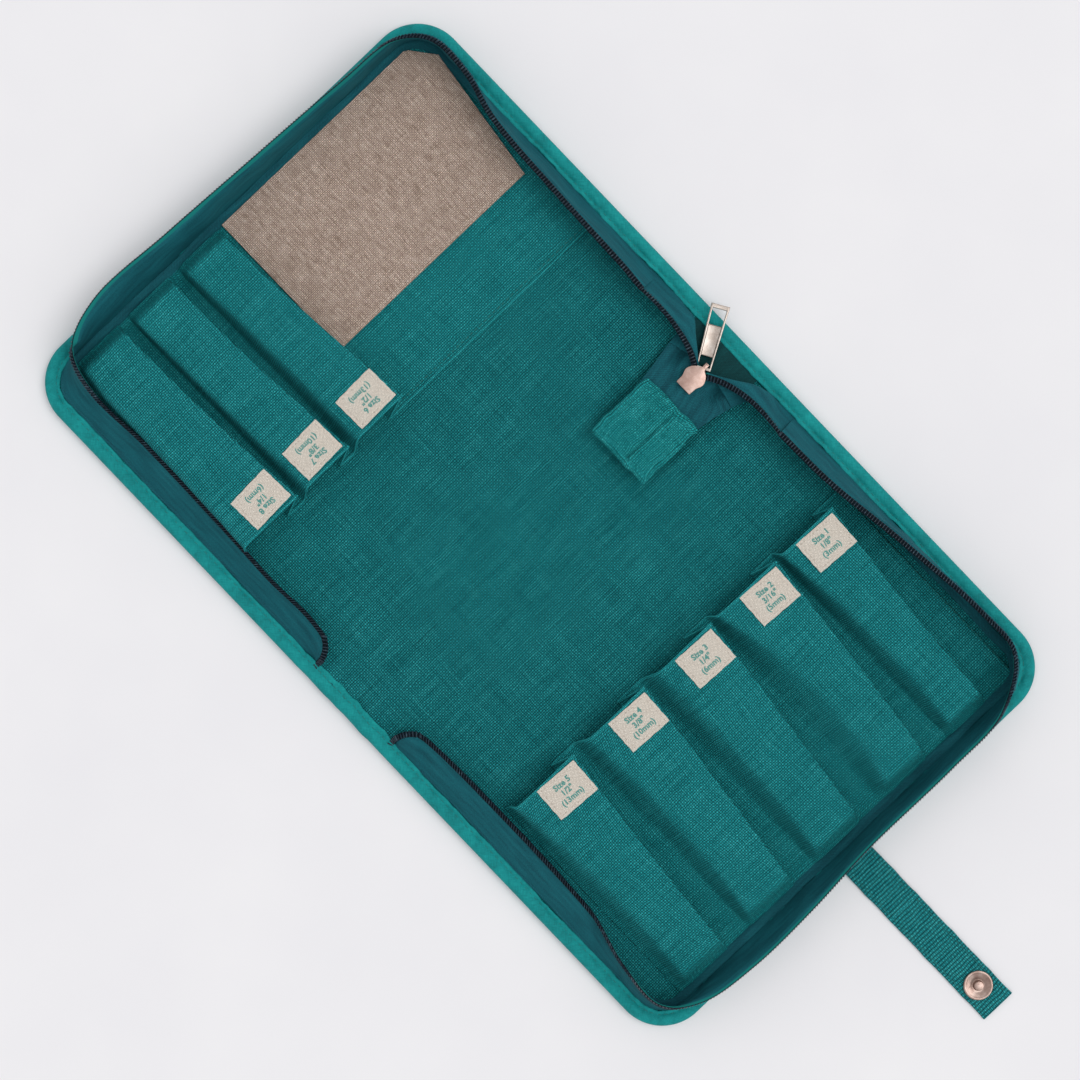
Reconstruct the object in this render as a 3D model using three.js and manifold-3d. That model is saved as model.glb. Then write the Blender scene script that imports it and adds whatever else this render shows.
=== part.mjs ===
// Zip-around fabric needle case, lying open and flat: two padded covers joined by a soft spine, a zip that stands
// up as a wall round each cover, pleated needle tubes, flat pockets, and a strap with a snap.
// Frame: origin under the middle of the spine, +X from the front cover to the back cover, +Y along the spine
// towards the zip slider, +Z up. Millimetres.
import * as THREE from "three";
import { mergeVertices } from "three/addons/utils/BufferGeometryUtils.js";
import Module from "manifold-3d";

const wasm = await Module();
wasm.setup();

// ---- Driving dimensions ----
const SPAN = 384; // across both open covers
const DEPTH = 228; // along the spine
const SPINE = 42; // between the two fold lines
const CORNER_R = 21;
const WALL = 17.8; // slant height of tape and coil together
const POCKET_LENGTH = 102.6;
const POCKET_HEIGHT = 12;
const STRAP_WIDTH = 16;
const STRAP_TIP_X = 277.7;
const GAP = 0.3; // between pieces that touch
const CORNER_STEPS = 6;

// Layers of a cover, from the table up
const OUTER_TOP = 1.0;
const PAD_BOTTOM = OUTER_TOP + GAP;
const PAD_TOP = 3.3;
const LINING_BOTTOM = PAD_TOP + GAP;
const LINING_TOP = 4.4;
const ON_LINING = LINING_TOP + GAP;

const HALF_SPAN = SPAN / 2;
const HALF_DEPTH = DEPTH / 2;
const FOLD_X = SPINE / 2;
const PANEL_CLEAR = 2.5; // panels stop this far from a fold line
const BINDING_CLEAR = 3.7;
const BINDING_WIDTH = 6;
const BINDING_HEIGHT = 5.8;
const FABRIC = 1.0;
const TAPE = 0.8;
const COIL_WIDTH = 3.2;
const COIL_HEIGHT = 2.4;
const COIL_GAP = 0.5;
const WALL_INSET = 7.1; // foot of the zip tape, from the outer edge
const FACING_INSET = 11;
const FACING_START_X = 42;
const WALL_END_X = 41; // where a standing wall stops, beside the slider
const WALL_START_X = 25.5; // where it is tucked into the binding, at the other end of the spine

// ---- Finishes ----
function finish(color, roughness, metalness = 0) {
  return () => new THREE.MeshStandardMaterial({ color, roughness, metalness });
}
const lining = finish(0x176a6e, 0.9);
const outerCanvas = finish(0x1b7073, 0.9);
const bindingCotton = finish(0x1a8987, 0.85);
const zipTape = finish(0x155058, 0.9);
const coilNylon = finish(0x14202b, 0.5);
const linen = finish(0xa99487, 0.95);
const labelCotton = finish(0xcdc3b4, 0.9);
const foamBoard = finish(0x8a8a86, 0.95);
const nickel = finish(0xa59b8f, 0.35, 1);

// ---- Small helpers ----
const V = (x, y, z) => new THREE.Vector3(x, y, z);
const range = (n) => Array.from({ length: n }, (_, i) => i);
const object = new THREE.Group();

function add(name, geometry, material) {
  const mesh = new THREE.Mesh(geometry, material());
  mesh.name = name;
  object.add(mesh);
  return mesh;
}

// Closed thin body from cross-sections: each has a row of face points and a matching row of back points.
function sheet(sections) {
  const rings = sections.map((s) => [...s.face, ...[...s.back].reverse()]);
  const n = rings[0].length;
  const triangles = [];
  const quad = (a, b, c, d) => triangles.push(a, b, c, a, c, d);
  for (let i = 0; i + 1 < rings.length; i++)
    for (let j = 0; j < n; j++) {
      const k = (j + 1) % n;
      quad(rings[i][j], rings[i][k], rings[i + 1][k], rings[i + 1][j]);
    }
  const first = rings[0];
  const last = rings[rings.length - 1];
  for (let k = 0; k + 1 < n / 2; k++) {
    quad(first[n - 1 - k], first[n - 2 - k], first[k + 1], first[k]);
    quad(last[k], last[k + 1], last[n - 2 - k], last[n - 1 - k]);
  }
  return outward(triangles);
}

// Geometry from a list of triangle corners, turned round if its faces point inwards.
function outward(corners) {
  let volume = 0;
  for (let i = 0; i < corners.length; i += 3)
    volume += corners[i].dot(corners[i + 1].clone().cross(corners[i + 2]));
  const ordered = volume > 0 ? corners : [...corners].reverse();
  const geometry = new THREE.BufferGeometry().setFromPoints(ordered);
  geometry.computeVertexNormals();
  return geometry;
}

// Flat plate of an outline, from z = bottom to z = top.
function plate(shape, bottom, top, curveSegments = 6) {
  const depth = top - bottom;
  return new THREE.ExtrudeGeometry(shape, { depth, bevelEnabled: false, curveSegments }).translate(0, 0, bottom);
}

function rectangle(x0, y0, x1, y1) {
  return new THREE.Shape([
    new THREE.Vector2(x0, y0),
    new THREE.Vector2(x1, y0),
    new THREE.Vector2(x1, y1),
    new THREE.Vector2(x0, y1),
  ]);
}

function roundHole(x, y, r) {
  return new THREE.Path().absarc(x, y, r, 0, Math.PI * 2, true);
}

function solid(geometry) {
  const bare = geometry.clone();
  bare.deleteAttribute("normal");
  bare.deleteAttribute("uv");
  const merged = mergeVertices(bare, 1e-4);
  const vertProperties = new Float32Array(merged.attributes.position.array);
  const triVerts = new Uint32Array(merged.index.array);
  return new wasm.Manifold(new wasm.Mesh({ numProp: 3, vertProperties, triVerts }));
}

function join(...geometries) {
  const mesh = geometries.map(solid).reduce((a, b) => a.add(b)).getMesh();
  const geometry = new THREE.BufferGeometry();
  geometry.setAttribute("position", new THREE.BufferAttribute(mesh.vertProperties, 3));
  geometry.setIndex(new THREE.BufferAttribute(mesh.triVerts, 1));
  return geometry;
}

// ---- Outline of a cover: side is -1 for the front cover, +1 for the back ----
// Outline of a flat layer that lies "inset" from the cover's outer edge.
function coverShape(side, inset, holes = []) {
  const x0 = FOLD_X + PANEL_CLEAR;
  const x1 = HALF_SPAN - inset;
  const y1 = HALF_DEPTH - inset;
  const r = CORNER_R - inset;
  const corners = [];
  for (const end of [-1, 1])
    for (const i of range(CORNER_STEPS + 1)) {
      const turn = ((i / CORNER_STEPS + (end - 1) / 2) * Math.PI) / 2;
      corners.push([x1 - r + r * Math.cos(turn), end * (y1 - r) + r * Math.sin(turn)]);
    }
  const points = [[x0, -y1], ...corners, [x0, y1]].map(([x, y]) => new THREE.Vector2(side * x, y));
  const shape = new THREE.Shape(side > 0 ? points : points.reverse());
  shape.holes.push(...holes);
  return shape;
}

// Line round three sides of a cover at an inset, as a curve with its outward direction.
function edgeLine(side, inset, fromX, toX) {
  const r = CORNER_R - inset;
  const arc = (r * Math.PI) / 2;
  const cx = HALF_SPAN - CORNER_R;
  const cy = HALF_DEPTH - CORNER_R;
  const lengths = [cx - fromX, arc, 2 * cy, arc, cx - toX];
  const total = lengths.reduce((a, b) => a + b);
  function at(distance) {
    const [a, b, c, d] = lengths;
    const bend = (end, turn) => [cx + r * Math.cos(turn), end * cy + r * Math.sin(turn), turn];
    let [x, y, turn] = [cx - (distance - a - b - c - d), cy + r, Math.PI / 2];
    if (distance <= a) [x, y, turn] = [fromX + distance, -cy - r, -Math.PI / 2];
    else if (distance <= a + b) [x, y, turn] = bend(-1, -Math.PI / 2 + (distance - a) / r);
    else if (distance <= a + b + c) [x, y, turn] = [cx + r, -cy + distance - a - b, 0];
    else if (distance <= a + b + c + d) [x, y, turn] = bend(1, (distance - a - b - c) / r);
    return { p: V(side * x, y, 0), out: V(side * Math.cos(turn), Math.sin(turn), 0) };
  }
  return { at, total, lengths };
}

// Distances along an edge line: its ends, and steps round its two corners.
function cornerStops(line) {
  const [a, b, c, d] = line.lengths;
  const round = (start, length) => range(CORNER_STEPS + 1).map((i) => start + (length * i) / CORNER_STEPS);
  return [0, ...round(a, b), ...round(a + b + c, d), line.total];
}

// ---- Covers and spine: flat layers ----
const SOCKET_X = -176.2;
const SNAP_Y = -0.6;
const SOCKET_HOLE_R = 6;

function coverLayers(name, side) {
  const hole = () => (side < 0 ? [roundHole(SOCKET_X, SNAP_Y, SOCKET_HOLE_R)] : []);
  const inside = FABRIC + GAP;
  add(`outer_${name}_panel`, plate(coverShape(side, BINDING_WIDTH + GAP, hole()), 0, OUTER_TOP), outerCanvas);
  add(`${name}_stiffener`, plate(coverShape(side, inside, hole()), PAD_BOTTOM, PAD_TOP), foamBoard);
  add(`${name}_lining`, plate(coverShape(side, inside), LINING_BOTTOM, LINING_TOP), lining);
}

function spineLayers() {
  const half = FOLD_X - PANEL_CLEAR;
  const strip = (inset) => rectangle(-half, -HALF_DEPTH + inset, half, HALF_DEPTH - inset);
  add("outer_spine_panel", plate(strip(BINDING_WIDTH + GAP), 0, OUTER_TOP), outerCanvas);
  add("spine_stiffener", plate(strip(FABRIC + GAP), PAD_BOTTOM, PAD_TOP), foamBoard);
  add("spine_lining", plate(strip(FABRIC + GAP), LINING_BOTTOM, LINING_TOP), lining);
}

// ---- Binding: a folded strip wrapped round the edge ----
function bindingSection({ p, out }) {
  const at = (inset, z) => p.clone().addScaledVector(out, -inset).setZ(z);
  const [w, h, t] = [BINDING_WIDTH, BINDING_HEIGHT, FABRIC];
  return {
    face: [at(w, 0), at(0, 0), at(0, h), at(w, h)],
    back: [at(w, t), at(t, t), at(t, h - t), at(w, h - t)],
  };
}

function coverBinding(name, side) {
  const line = edgeLine(side, 0, FOLD_X + BINDING_CLEAR, FOLD_X + BINDING_CLEAR);
  const sections = cornerStops(line).map((d) => bindingSection(line.at(d)));
  add(`${name}_binding`, sheet(sections), bindingCotton);
}

function spineBinding(name, end) {
  const half = FOLD_X - BINDING_CLEAR;
  const station = (x) => bindingSection({ p: V(x, end * HALF_DEPTH, 0), out: V(0, end, 0) });
  add(name, sheet([station(-half), station(half)]), bindingCotton);
}

// ---- Zip wall: the tape stands on its foot line and leans so that its top edge follows a route ----
// Top edge of each wall, seen from above, from the tucked end of the zip round to the slider.
const FRONT_TOP = [
  [25.5, -105.5], [27.5, -96], [36, -93], [134, -93], [164, -95.7], [184.4, -88.5], [193.2, -68],
  [192, -29], [190, 12], [187.2, 66], [184.6, 93], [174.5, 104.2], [155, 105], [134, 100.2],
  [93.6, 98], [53, 97], [WALL_END_X, 96.2],
];
const BACK_TOP = [
  [25.5, -105.5], [27.5, -95.8], [38, -92.2], [91, -91.3], [132, -95], [156, -100.4], [176.5, -100.4],
  [187.6, -87], [191.8, -62], [191.5, -29], [189, 5], [188.9, 53], [186.9, 82], [172.5, 103.2],
  [152, 105], [111, 101.8], [70, 97], [WALL_END_X, 96.2],
];
const WALL_STEPS = 40;
const TUCK = 15; // length over which the tucked end rises to full height
const TUCK_STEPS = 5;
const TUCK_HEIGHT = 3.6; // slant height of the tucked end
const WALL_BASE = ON_LINING + TAPE / 2;

function wallStations(side, top) {
  const foot = edgeLine(side, WALL_INSET, WALL_START_X, WALL_END_X);
  const route = new THREE.CatmullRomCurve3(top.map(([x, y]) => V(side * x, y, 0)), false, "centripetal");
  const tucked = TUCK / foot.total;
  const stops = [
    ...range(TUCK_STEPS).map((i) => (tucked * i) / TUCK_STEPS),
    ...range(WALL_STEPS + 1).map((i) => tucked + ((1 - tucked) * i) / WALL_STEPS),
  ];
  return stops.map((f) => {
    const { p } = foot.at(f * foot.total);
    const edge = route.getPointAt(f);
    const slant = Math.min(WALL, TUCK_HEIGHT + ((WALL - TUCK_HEIGHT) * f) / tucked);
    const flat = edge.clone().sub(p);
    const across = Math.min(flat.length(), slant * 0.94);
    const up = flat.normalize().multiplyScalar(across).setZ(Math.sqrt(slant * slant - across * across));
    return { base: p.setZ(WALL_BASE), up: up.clone().normalize(), slant, along: route.getTangentAt(f) };
  });
}

function zipWall(name, side, top) {
  const stations = wallStations(side, top).map((s) => {
    const across = new THREE.Vector3().crossVectors(s.up, s.along).normalize();
    const at = (height, offset) => s.base.clone().addScaledVector(s.up, height).addScaledVector(across, offset);
    return { ...s, at };
  });
  const tape = stations.map(({ at, slant }) => {
    const edge = slant - COIL_HEIGHT - COIL_GAP;
    const rows = [0, edge * 0.5, edge];
    return { face: rows.map((h) => at(h, TAPE / 2)), back: rows.map((h) => at(h, -TAPE / 2)) };
  });
  const coil = stations.map(({ at, slant }) => {
    const low = slant - COIL_HEIGHT;
    const rows = [[low, 0.3], [low + COIL_HEIGHT * 0.5, 0.5], [slant, 0.3]];
    const row = (sign) => rows.map(([h, half]) => at(h, sign * half * COIL_WIDTH));
    return { face: row(1), back: row(-1) };
  });
  add(`${name}_zip_tape`, sheet(tape), zipTape);
  add(`${name}_zip_coil`, sheet(coil), coilNylon);
}

function seamFacing(name, side) {
  const line = edgeLine(side, 0, FACING_START_X, FACING_START_X);
  const stations = cornerStops(line).map((d) => {
    const { p, out } = line.at(d);
    const at = (inset, z) => p.clone().addScaledVector(out, -inset).setZ(z);
    const [near, far] = [WALL_INSET + 3 * TAPE, FACING_INSET];
    const top = ON_LINING + TAPE / 2;
    return {
      face: [at(near, top), at(far, top)],
      back: [at(near, ON_LINING), at(far, ON_LINING)],
    };
  });
  add(`${name}_seam_facing`, sheet(stations), zipTape);
}

// ---- Needle tubes: an arch of canvas, open at the mouth and sewn flat at the end edge ----
const MOUTH_X = 78;
const ARCH_POINTS = 9;
const END_HEIGHT = 2.2;

function needlePocket(name, side, mouth, end) {
  const stops = [0, 0.18, 0.45, 0.72, 0.88, 0.95, 1];
  const sections = stops.map((f) => {
    const x = side * (MOUTH_X + f * POCKET_LENGTH);
    const high = mouth[0] + (end[0] - mouth[0]) * f;
    const low = mouth[1] + (end[1] - mouth[1]) * f;
    const fall = THREE.MathUtils.smoothstep(f, 0.72, 1);
    const height = THREE.MathUtils.lerp(POCKET_HEIGHT, END_HEIGHT, fall);
    const arch = (shrink) =>
      range(ARCH_POINTS).map((i) => {
        const turn = (Math.PI * i) / (ARCH_POINTS - 1);
        const c = Math.cos(turn);
        const y = (high + low) / 2 + Math.sign(c) * Math.sqrt(Math.abs(c)) * ((high - low) / 2 - shrink);
        const lift = i % (ARCH_POINTS - 1) === 0 ? 0 : Math.pow(Math.sin(turn), 0.6);
        return V(x, y, ON_LINING + lift * (height - shrink));
      });
    return { face: arch(0), back: arch(FABRIC) };
  });
  add(name, sheet(sections), lining);
}

const LABEL = { along: 15.5, across: 19.7, thick: 0.5 };

function sizeLabel(name, side, mouth) {
  const label = new THREE.BoxGeometry(LABEL.along, LABEL.across, LABEL.thick);
  const mesh = add(name, label, labelCotton);
  const z = ON_LINING + POCKET_HEIGHT + GAP + LABEL.thick / 2;
  mesh.position.set(side * (MOUTH_X + 1.2 + LABEL.along / 2), (mouth[0] + mouth[1]) / 2 + 1.2, z);
}

// A row of tubes: sewn down at an even pitch, each one's far edge set over by the pleat at its closed end.
function pocketRow(side, firstNumber, count, firstSeam, pitch, pleat) {
  for (const i of range(count)) {
    const seam = firstSeam - i * pitch;
    const mouth = [seam - 1, seam - pitch + 1.6];
    const end = [seam - pleat, seam - pitch + 3.2];
    needlePocket(`needle_pocket_${firstNumber + i}`, side, mouth, end);
    sizeLabel(`size_label_${firstNumber + i}`, side, mouth);
  }
}

// ---- Flat pockets of the front cover ----
const SLIP_MOUTH_X = -74;
const LINEN_MOUTH_X = -110;

function flatPockets() {
  const wallSide = -(HALF_SPAN - FACING_INSET) + GAP;
  const [low, high] = [-2.2, 101];
  const clip = 9.5; // corner cut off beside the rounded corner of the wall
  const outline = (mouth) =>
    new THREE.Shape(
      [[wallSide, low], [mouth, low], [mouth, high], [wallSide + clip, high], [wallSide, high - clip]].map(
        ([x, y]) => new THREE.Vector2(x, y),
      ),
    );
  const z = ON_LINING + FABRIC + GAP;
  add("slip_pocket", plate(outline(SLIP_MOUTH_X), ON_LINING, ON_LINING + FABRIC), lining);
  add("linen_pocket", plate(outline(LINEN_MOUTH_X), z, z + FABRIC), linen);
}

// ---- Zip tail, slider and pull ----
const ZIP_Z = 12; // mid-height of the slider
const SLIDER = { y: 87, half: 5.1, length: 11, plate: 1 };
const TAIL_TAPE_Z = 12.4;
const TAIL_SLOT = 1.1; // half the slot that the slider's wedge runs in
const TAB = { x0: -13.5, x1: 16.5, y0: 42.8, y1: 73.8 };

function zipTail() {
  for (const [name, side, reach] of [["left", -1, TAB.x0], ["right", 1, TAB.x1]]) {
    const low = TAB.y1 + GAP;
    const outline = [
      [side * TAIL_SLOT, low], [reach, low], [side * 17.5, 94], [side * 8.5, 94], [side * TAIL_SLOT, 84],
    ].map(([x, y]) => new THREE.Vector2(x, y));
    const shape = new THREE.Shape(side > 0 ? outline : outline.reverse());
    add(`zip_tail_tape_${name}`, plate(shape, TAIL_TAPE_Z, TAIL_TAPE_Z + TAPE), zipTape);
    const [x0, x1] = [side * TAIL_SLOT, side * (TAIL_SLOT + 1.5)].sort((a, b) => a - b);
    const coil = plate(rectangle(x0, low, x1, 88), TAIL_TAPE_Z - GAP - 1.3, TAIL_TAPE_Z - GAP);
    add(`zip_tail_coil_${name}`, coil, coilNylon);
  }
  add("zip_end_tab", plate(rectangle(TAB.x0, TAB.y0, TAB.x1, TAB.y1), 10.6, 13.6), outerCanvas);
}

// Shield outline of the slider's two plates: square tail, wide shoulders, narrow nose.
function sliderOutline() {
  const { half, length } = SLIDER;
  const back = -length / 2;
  const shape = new THREE.Shape();
  shape.moveTo(-half * 0.76, back);
  shape.lineTo(half * 0.76, back);
  shape.lineTo(half * 0.8, back + 3.6);
  shape.lineTo(half, back + 5.2);
  shape.quadraticCurveTo(half, length / 2 - 1.2, 1.4, length / 2);
  shape.lineTo(-1.4, length / 2);
  shape.quadraticCurveTo(-half, length / 2 - 1.2, -half, back + 5.2);
  shape.lineTo(-half * 0.8, back + 3.6);
  return shape;
}

const PLATE_IN = 1.6; // inner faces of the plates, from mid-height
const BAIL = { width: 1.8, gap: 2.6, wall: 0.8, front: 3.8, back: -1.5 };
const PULL_PIVOT = V(0, SLIDER.y + SLIDER.length / 2 + 1.2, ZIP_Z - PLATE_IN - SLIDER.plate - BAIL.gap / 2);

function slider() {
  const upper = plate(sliderOutline(), PLATE_IN, PLATE_IN + SLIDER.plate, 4);
  const lower = plate(sliderOutline(), -PLATE_IN - SLIDER.plate, -PLATE_IN, 4);
  const wedge = new THREE.BoxGeometry(1.4, 2.6, 2 * PLATE_IN + 1).translate(0, SLIDER.length / 2 - 1.6, 0);
  const floor = -PLATE_IN - SLIDER.plate;
  const nose = SLIDER.length / 2;
  const loop = rectangle(BAIL.back, floor - BAIL.gap - BAIL.wall, nose + BAIL.front, floor + 0.5);
  loop.holes.push(
    new THREE.Path([
      new THREE.Vector2(BAIL.back + BAIL.wall, floor),
      new THREE.Vector2(BAIL.back + BAIL.wall, floor - BAIL.gap),
      new THREE.Vector2(nose + BAIL.front - BAIL.wall, floor - BAIL.gap),
      new THREE.Vector2(nose + BAIL.front - BAIL.wall, floor),
    ]),
  );
  const bail = new THREE.ExtrudeGeometry(loop, { depth: BAIL.width, bevelEnabled: false })
    .translate(0, 0, -BAIL.width / 2)
    .rotateY(Math.PI / 2)
    .rotateX(Math.PI / 2);
  add("zip_slider", join(upper, lower, wedge, bail), nickel).position.set(0, SLIDER.y, ZIP_Z);
}

const PULL = { length: 27.4, near: 6.4, far: 8, thick: 1.4, rim: 0.7, heading: 30.8 };
const PULL_WINDOWS = [
  { from: PULL.rim, to: 5.4, half: 2.3 },
  { from: 18.6, to: 25.8, half: 2.7 },
];

function pull() {
  const { near, far, length, rim } = PULL;
  const outline = new THREE.Shape([
    new THREE.Vector2(-near / 2, -rim),
    new THREE.Vector2(near / 2, -rim),
    new THREE.Vector2(far / 2, length),
    new THREE.Vector2(-far / 2, length),
  ]);
  for (const { from, to, half } of PULL_WINDOWS)
    outline.holes.push(
      new THREE.Path([
        new THREE.Vector2(-half, from),
        new THREE.Vector2(-half, to),
        new THREE.Vector2(half, to),
        new THREE.Vector2(half, from),
      ]),
    );
  const mesh = add("zip_pull", plate(outline, -PULL.thick / 2, PULL.thick / 2), nickel);
  mesh.position.copy(PULL_PIVOT);
  mesh.rotation.z = THREE.MathUtils.degToRad(PULL.heading);
}

// ---- Closing strap with its snap ----
const STRAP = { thick: 1.6, fold1: 197, fold2: 244.5, clear: 1.1 };
const STUD = { x: 265.3, flange: 6.2, nub: 2.1, height: 1.8 };

function strapPiece(name, x0, x1, holes = []) {
  const shape = rectangle(x0, SNAP_Y - STRAP_WIDTH / 2, x1, SNAP_Y + STRAP_WIDTH / 2);
  shape.holes.push(...holes);
  add(name, plate(shape, 0, STRAP.thick), outerCanvas);
}

function lathe(points, x, y, z) {
  const profile = points.map(([r, h]) => new THREE.Vector2(r, h));
  return new THREE.LatheGeometry(profile, 20).rotateX(Math.PI / 2).translate(x, y, z);
}

function strap() {
  const { fold1, fold2, clear, thick } = STRAP;
  const seat = roundHole(STUD.x, SNAP_Y, 4.6);
  strapPiece("strap_root", HALF_SPAN + 0.4, fold1 - clear);
  strapPiece("strap_riser", fold1 + clear, fold2 - clear);
  strapPiece("strap_tip", fold2 + clear, STRAP_TIP_X, [seat]);
  const { flange, nub, height } = STUD;
  const stud = [
    [0, 0], [flange, 0], [flange, 0.5], [nub, 0.5], [nub * 0.85, 1.1], [nub, 1.7], [nub * 0.8, 0.5 + height],
    [0, 0.5 + height],
  ];
  add("snap_stud", lathe(stud, STUD.x, SNAP_Y, thick + GAP), nickel);
  add("snap_stud_cap", lathe([[0, 0], [4.2, 0], [4.2, 0.9], [1.2, 0.9], [1.2, 1.5], [0, 1.5]], STUD.x, SNAP_Y, 0), nickel);
}

function snapSocket() {
  const ring = [[2.5, 0], [5.6, 0], [5.6, 2], [2.5, 2], [2.5, 0]];
  add("snap_socket", lathe(ring, SOCKET_X, SNAP_Y, 0), nickel);
  add("snap_socket_post", lathe([[0, 0], [4.5, 0], [4.5, 0.8], [0, 0.8]], SOCKET_X, SNAP_Y, 2.3), nickel);
}

// ---- The object ----
for (const [name, side, top] of [["front", -1, FRONT_TOP], ["back", 1, BACK_TOP]]) {
  coverLayers(name, side);
  coverBinding(name, side);
  zipWall(name, side, top);
  seamFacing(name, side);
}
spineLayers();
spineBinding("spine_binding_slider_end", 1);
spineBinding("spine_binding_tucked_end", -1);
pocketRow(1, 1, 5, 99.6, 38.1, 12.4);
pocketRow(-1, 6, 3, -3.5, 29.6, 7.5);
flatPockets();
zipTail();
slider();
pull();
strap();
snapSocket();

export default object;
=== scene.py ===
"""Zip-around needle case in teal canvas, lying open: the finished look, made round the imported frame."""

import bpy
import numpy as np
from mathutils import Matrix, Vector
from mathutils.bvhtree import BVHTree


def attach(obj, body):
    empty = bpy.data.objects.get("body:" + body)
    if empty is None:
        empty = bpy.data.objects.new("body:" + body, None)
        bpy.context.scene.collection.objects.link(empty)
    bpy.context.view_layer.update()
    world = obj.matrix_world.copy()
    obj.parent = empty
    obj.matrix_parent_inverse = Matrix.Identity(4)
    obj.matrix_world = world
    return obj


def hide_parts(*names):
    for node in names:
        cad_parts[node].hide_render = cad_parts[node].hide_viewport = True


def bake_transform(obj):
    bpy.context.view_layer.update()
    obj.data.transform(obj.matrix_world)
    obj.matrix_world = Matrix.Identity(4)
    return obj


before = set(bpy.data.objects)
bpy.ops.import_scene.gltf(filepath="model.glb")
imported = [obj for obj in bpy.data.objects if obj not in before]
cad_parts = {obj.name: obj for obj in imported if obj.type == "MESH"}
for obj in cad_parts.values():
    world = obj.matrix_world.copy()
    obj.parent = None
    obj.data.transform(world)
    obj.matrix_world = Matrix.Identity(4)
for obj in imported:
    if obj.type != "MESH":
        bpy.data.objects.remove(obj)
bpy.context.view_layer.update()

MM = 0.001

# ---- Driving dimensions, in mm: the same as the frame's ----
HALF_SPAN = 192.0
HALF_DEPTH = 114.0
CORNER_R = 21.0
FOLD_X = 21.0
LINING_TOP = 4.4
WALL = 17.8  # slant height of the zip tape with its coil
WALL_INSET = 7.1  # foot of the wall, from the case's edge
WALL_BASE = 5.1  # height of its foot
WALL_START_X = 25.5  # where a wall is tucked into the binding
WALL_END_X = 41.0  # where it ends, beside the slider
TUCK = 15.0  # length of the tucked end
TUCK_HEIGHT = 3.6
MOUTH_X = 78.0  # where the needle tubes open
POCKET_FAR_X = 180.8  # where they are sewn shut
ZIP_Z = 12.0
SNAP_Y = -0.6
UP = np.array([0, 0, 1.0])
FRONT, SPINE, BACK = "front_cover", "spine", "back_cover"
COVER = {-1: FRONT, 1: BACK}
WORD = {-1: "front", 1: "back"}


# ---- Finishes ----
class Finish:
    """A material being mixed. Patterns are in millimetres of cloth, read from the piece's own UV map."""

    def __init__(self, name, roughness=0.9, **fixed):
        self.material = bpy.data.materials.new(name)
        self.material.use_nodes = True
        self.tree = self.material.node_tree
        self.shader = self.tree.nodes["Principled BSDF"]
        self.shader.inputs["Roughness"].default_value = roughness
        for socket, value in fixed.items():
            self.shader.inputs[socket.replace("_", " ")].default_value = value

    def node(self, kind, inputs=(), **settings):
        made = self.tree.nodes.new(kind)
        for key, value in settings.items():
            setattr(made, key, value)
        for key, value in dict(inputs).items():
            if isinstance(value, bpy.types.NodeSocket):
                self.tree.links.new(value, made.inputs[key])
            else:
                made.inputs[key].default_value = value
        return made

    def sum(self, operation, a, b=0.0, clamp=False):
        made = self.node("ShaderNodeMath", {0: a, 1: b}, operation=operation, use_clamp=clamp)
        return made.outputs[0]

    def cloth_place(self):
        """The point on the flat cloth, in mm."""
        return self.scaled(self.node("ShaderNodeTexCoord").outputs["UV"], (1000, 1000, 1000))

    def solid_place(self):
        return self.scaled(self.node("ShaderNodeTexCoord").outputs["Object"], (1000, 1000, 1000))

    def scaled(self, vector, scale, turn=0.0):
        inputs = {"Vector": vector, "Scale": scale, "Rotation": (0, 0, turn)}
        return self.node("ShaderNodeMapping", inputs).outputs[0]

    def noise(self, vector, scale, detail=2.0, roughness=0.5):
        inputs = {"Vector": vector, "Scale": scale, "Detail": detail, "Roughness": roughness}
        return self.node("ShaderNodeTexNoise", inputs).outputs["Fac"]

    def spread(self, value, low, high):
        """value from low to high, stretched to 0 to 1."""
        inputs = {"Value": value, "From Min": low, "From Max": high}
        return self.node("ShaderNodeMapRange", inputs).outputs[0]

    def ramp(self, value, stops):
        made = self.node("ShaderNodeValToRGB", {"Fac": value})
        elements = made.color_ramp.elements
        while len(elements) < len(stops):
            elements.new(0.5)
        for element, (place, colour) in zip(elements, stops):
            element.position = place
            element.color = dye(colour)
        return made.outputs["Color"]

    def mix(self, factor, a, b, blend="MIX"):
        made = self.node("ShaderNodeMix", data_type="RGBA", blend_type=blend)
        for key, value in ((0, factor), (6, a), (7, b)):
            if isinstance(value, bpy.types.NodeSocket):
                self.tree.links.new(value, made.inputs[key])
            else:
                made.inputs[key].default_value = value
        return made.outputs[2]

    def surface(self, colour=None, roughness=None, height=None, depth=0.1):
        """Joins the patterns to the shader. depth is the relief in mm."""
        put = self.tree.links.new
        if colour is not None:
            put(colour, self.shader.inputs["Base Color"])
        if roughness is not None:
            put(roughness, self.shader.inputs["Roughness"])
        if height is not None:
            inputs = {"Height": height, "Distance": depth * MM, "Strength": 1.0}
            bump = self.node("ShaderNodeBump", inputs)
            put(bump.outputs[0], self.shader.inputs["Normal"])
        return self.material


def dye(rgb, alpha=1.0):
    """A colour from its 8-bit display values."""
    linear = [((c / 255 + 0.055) / 1.055) ** 2.4 if c > 10 else c / 255 / 12.92 for c in rgb]
    return (*linear, alpha)


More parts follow.
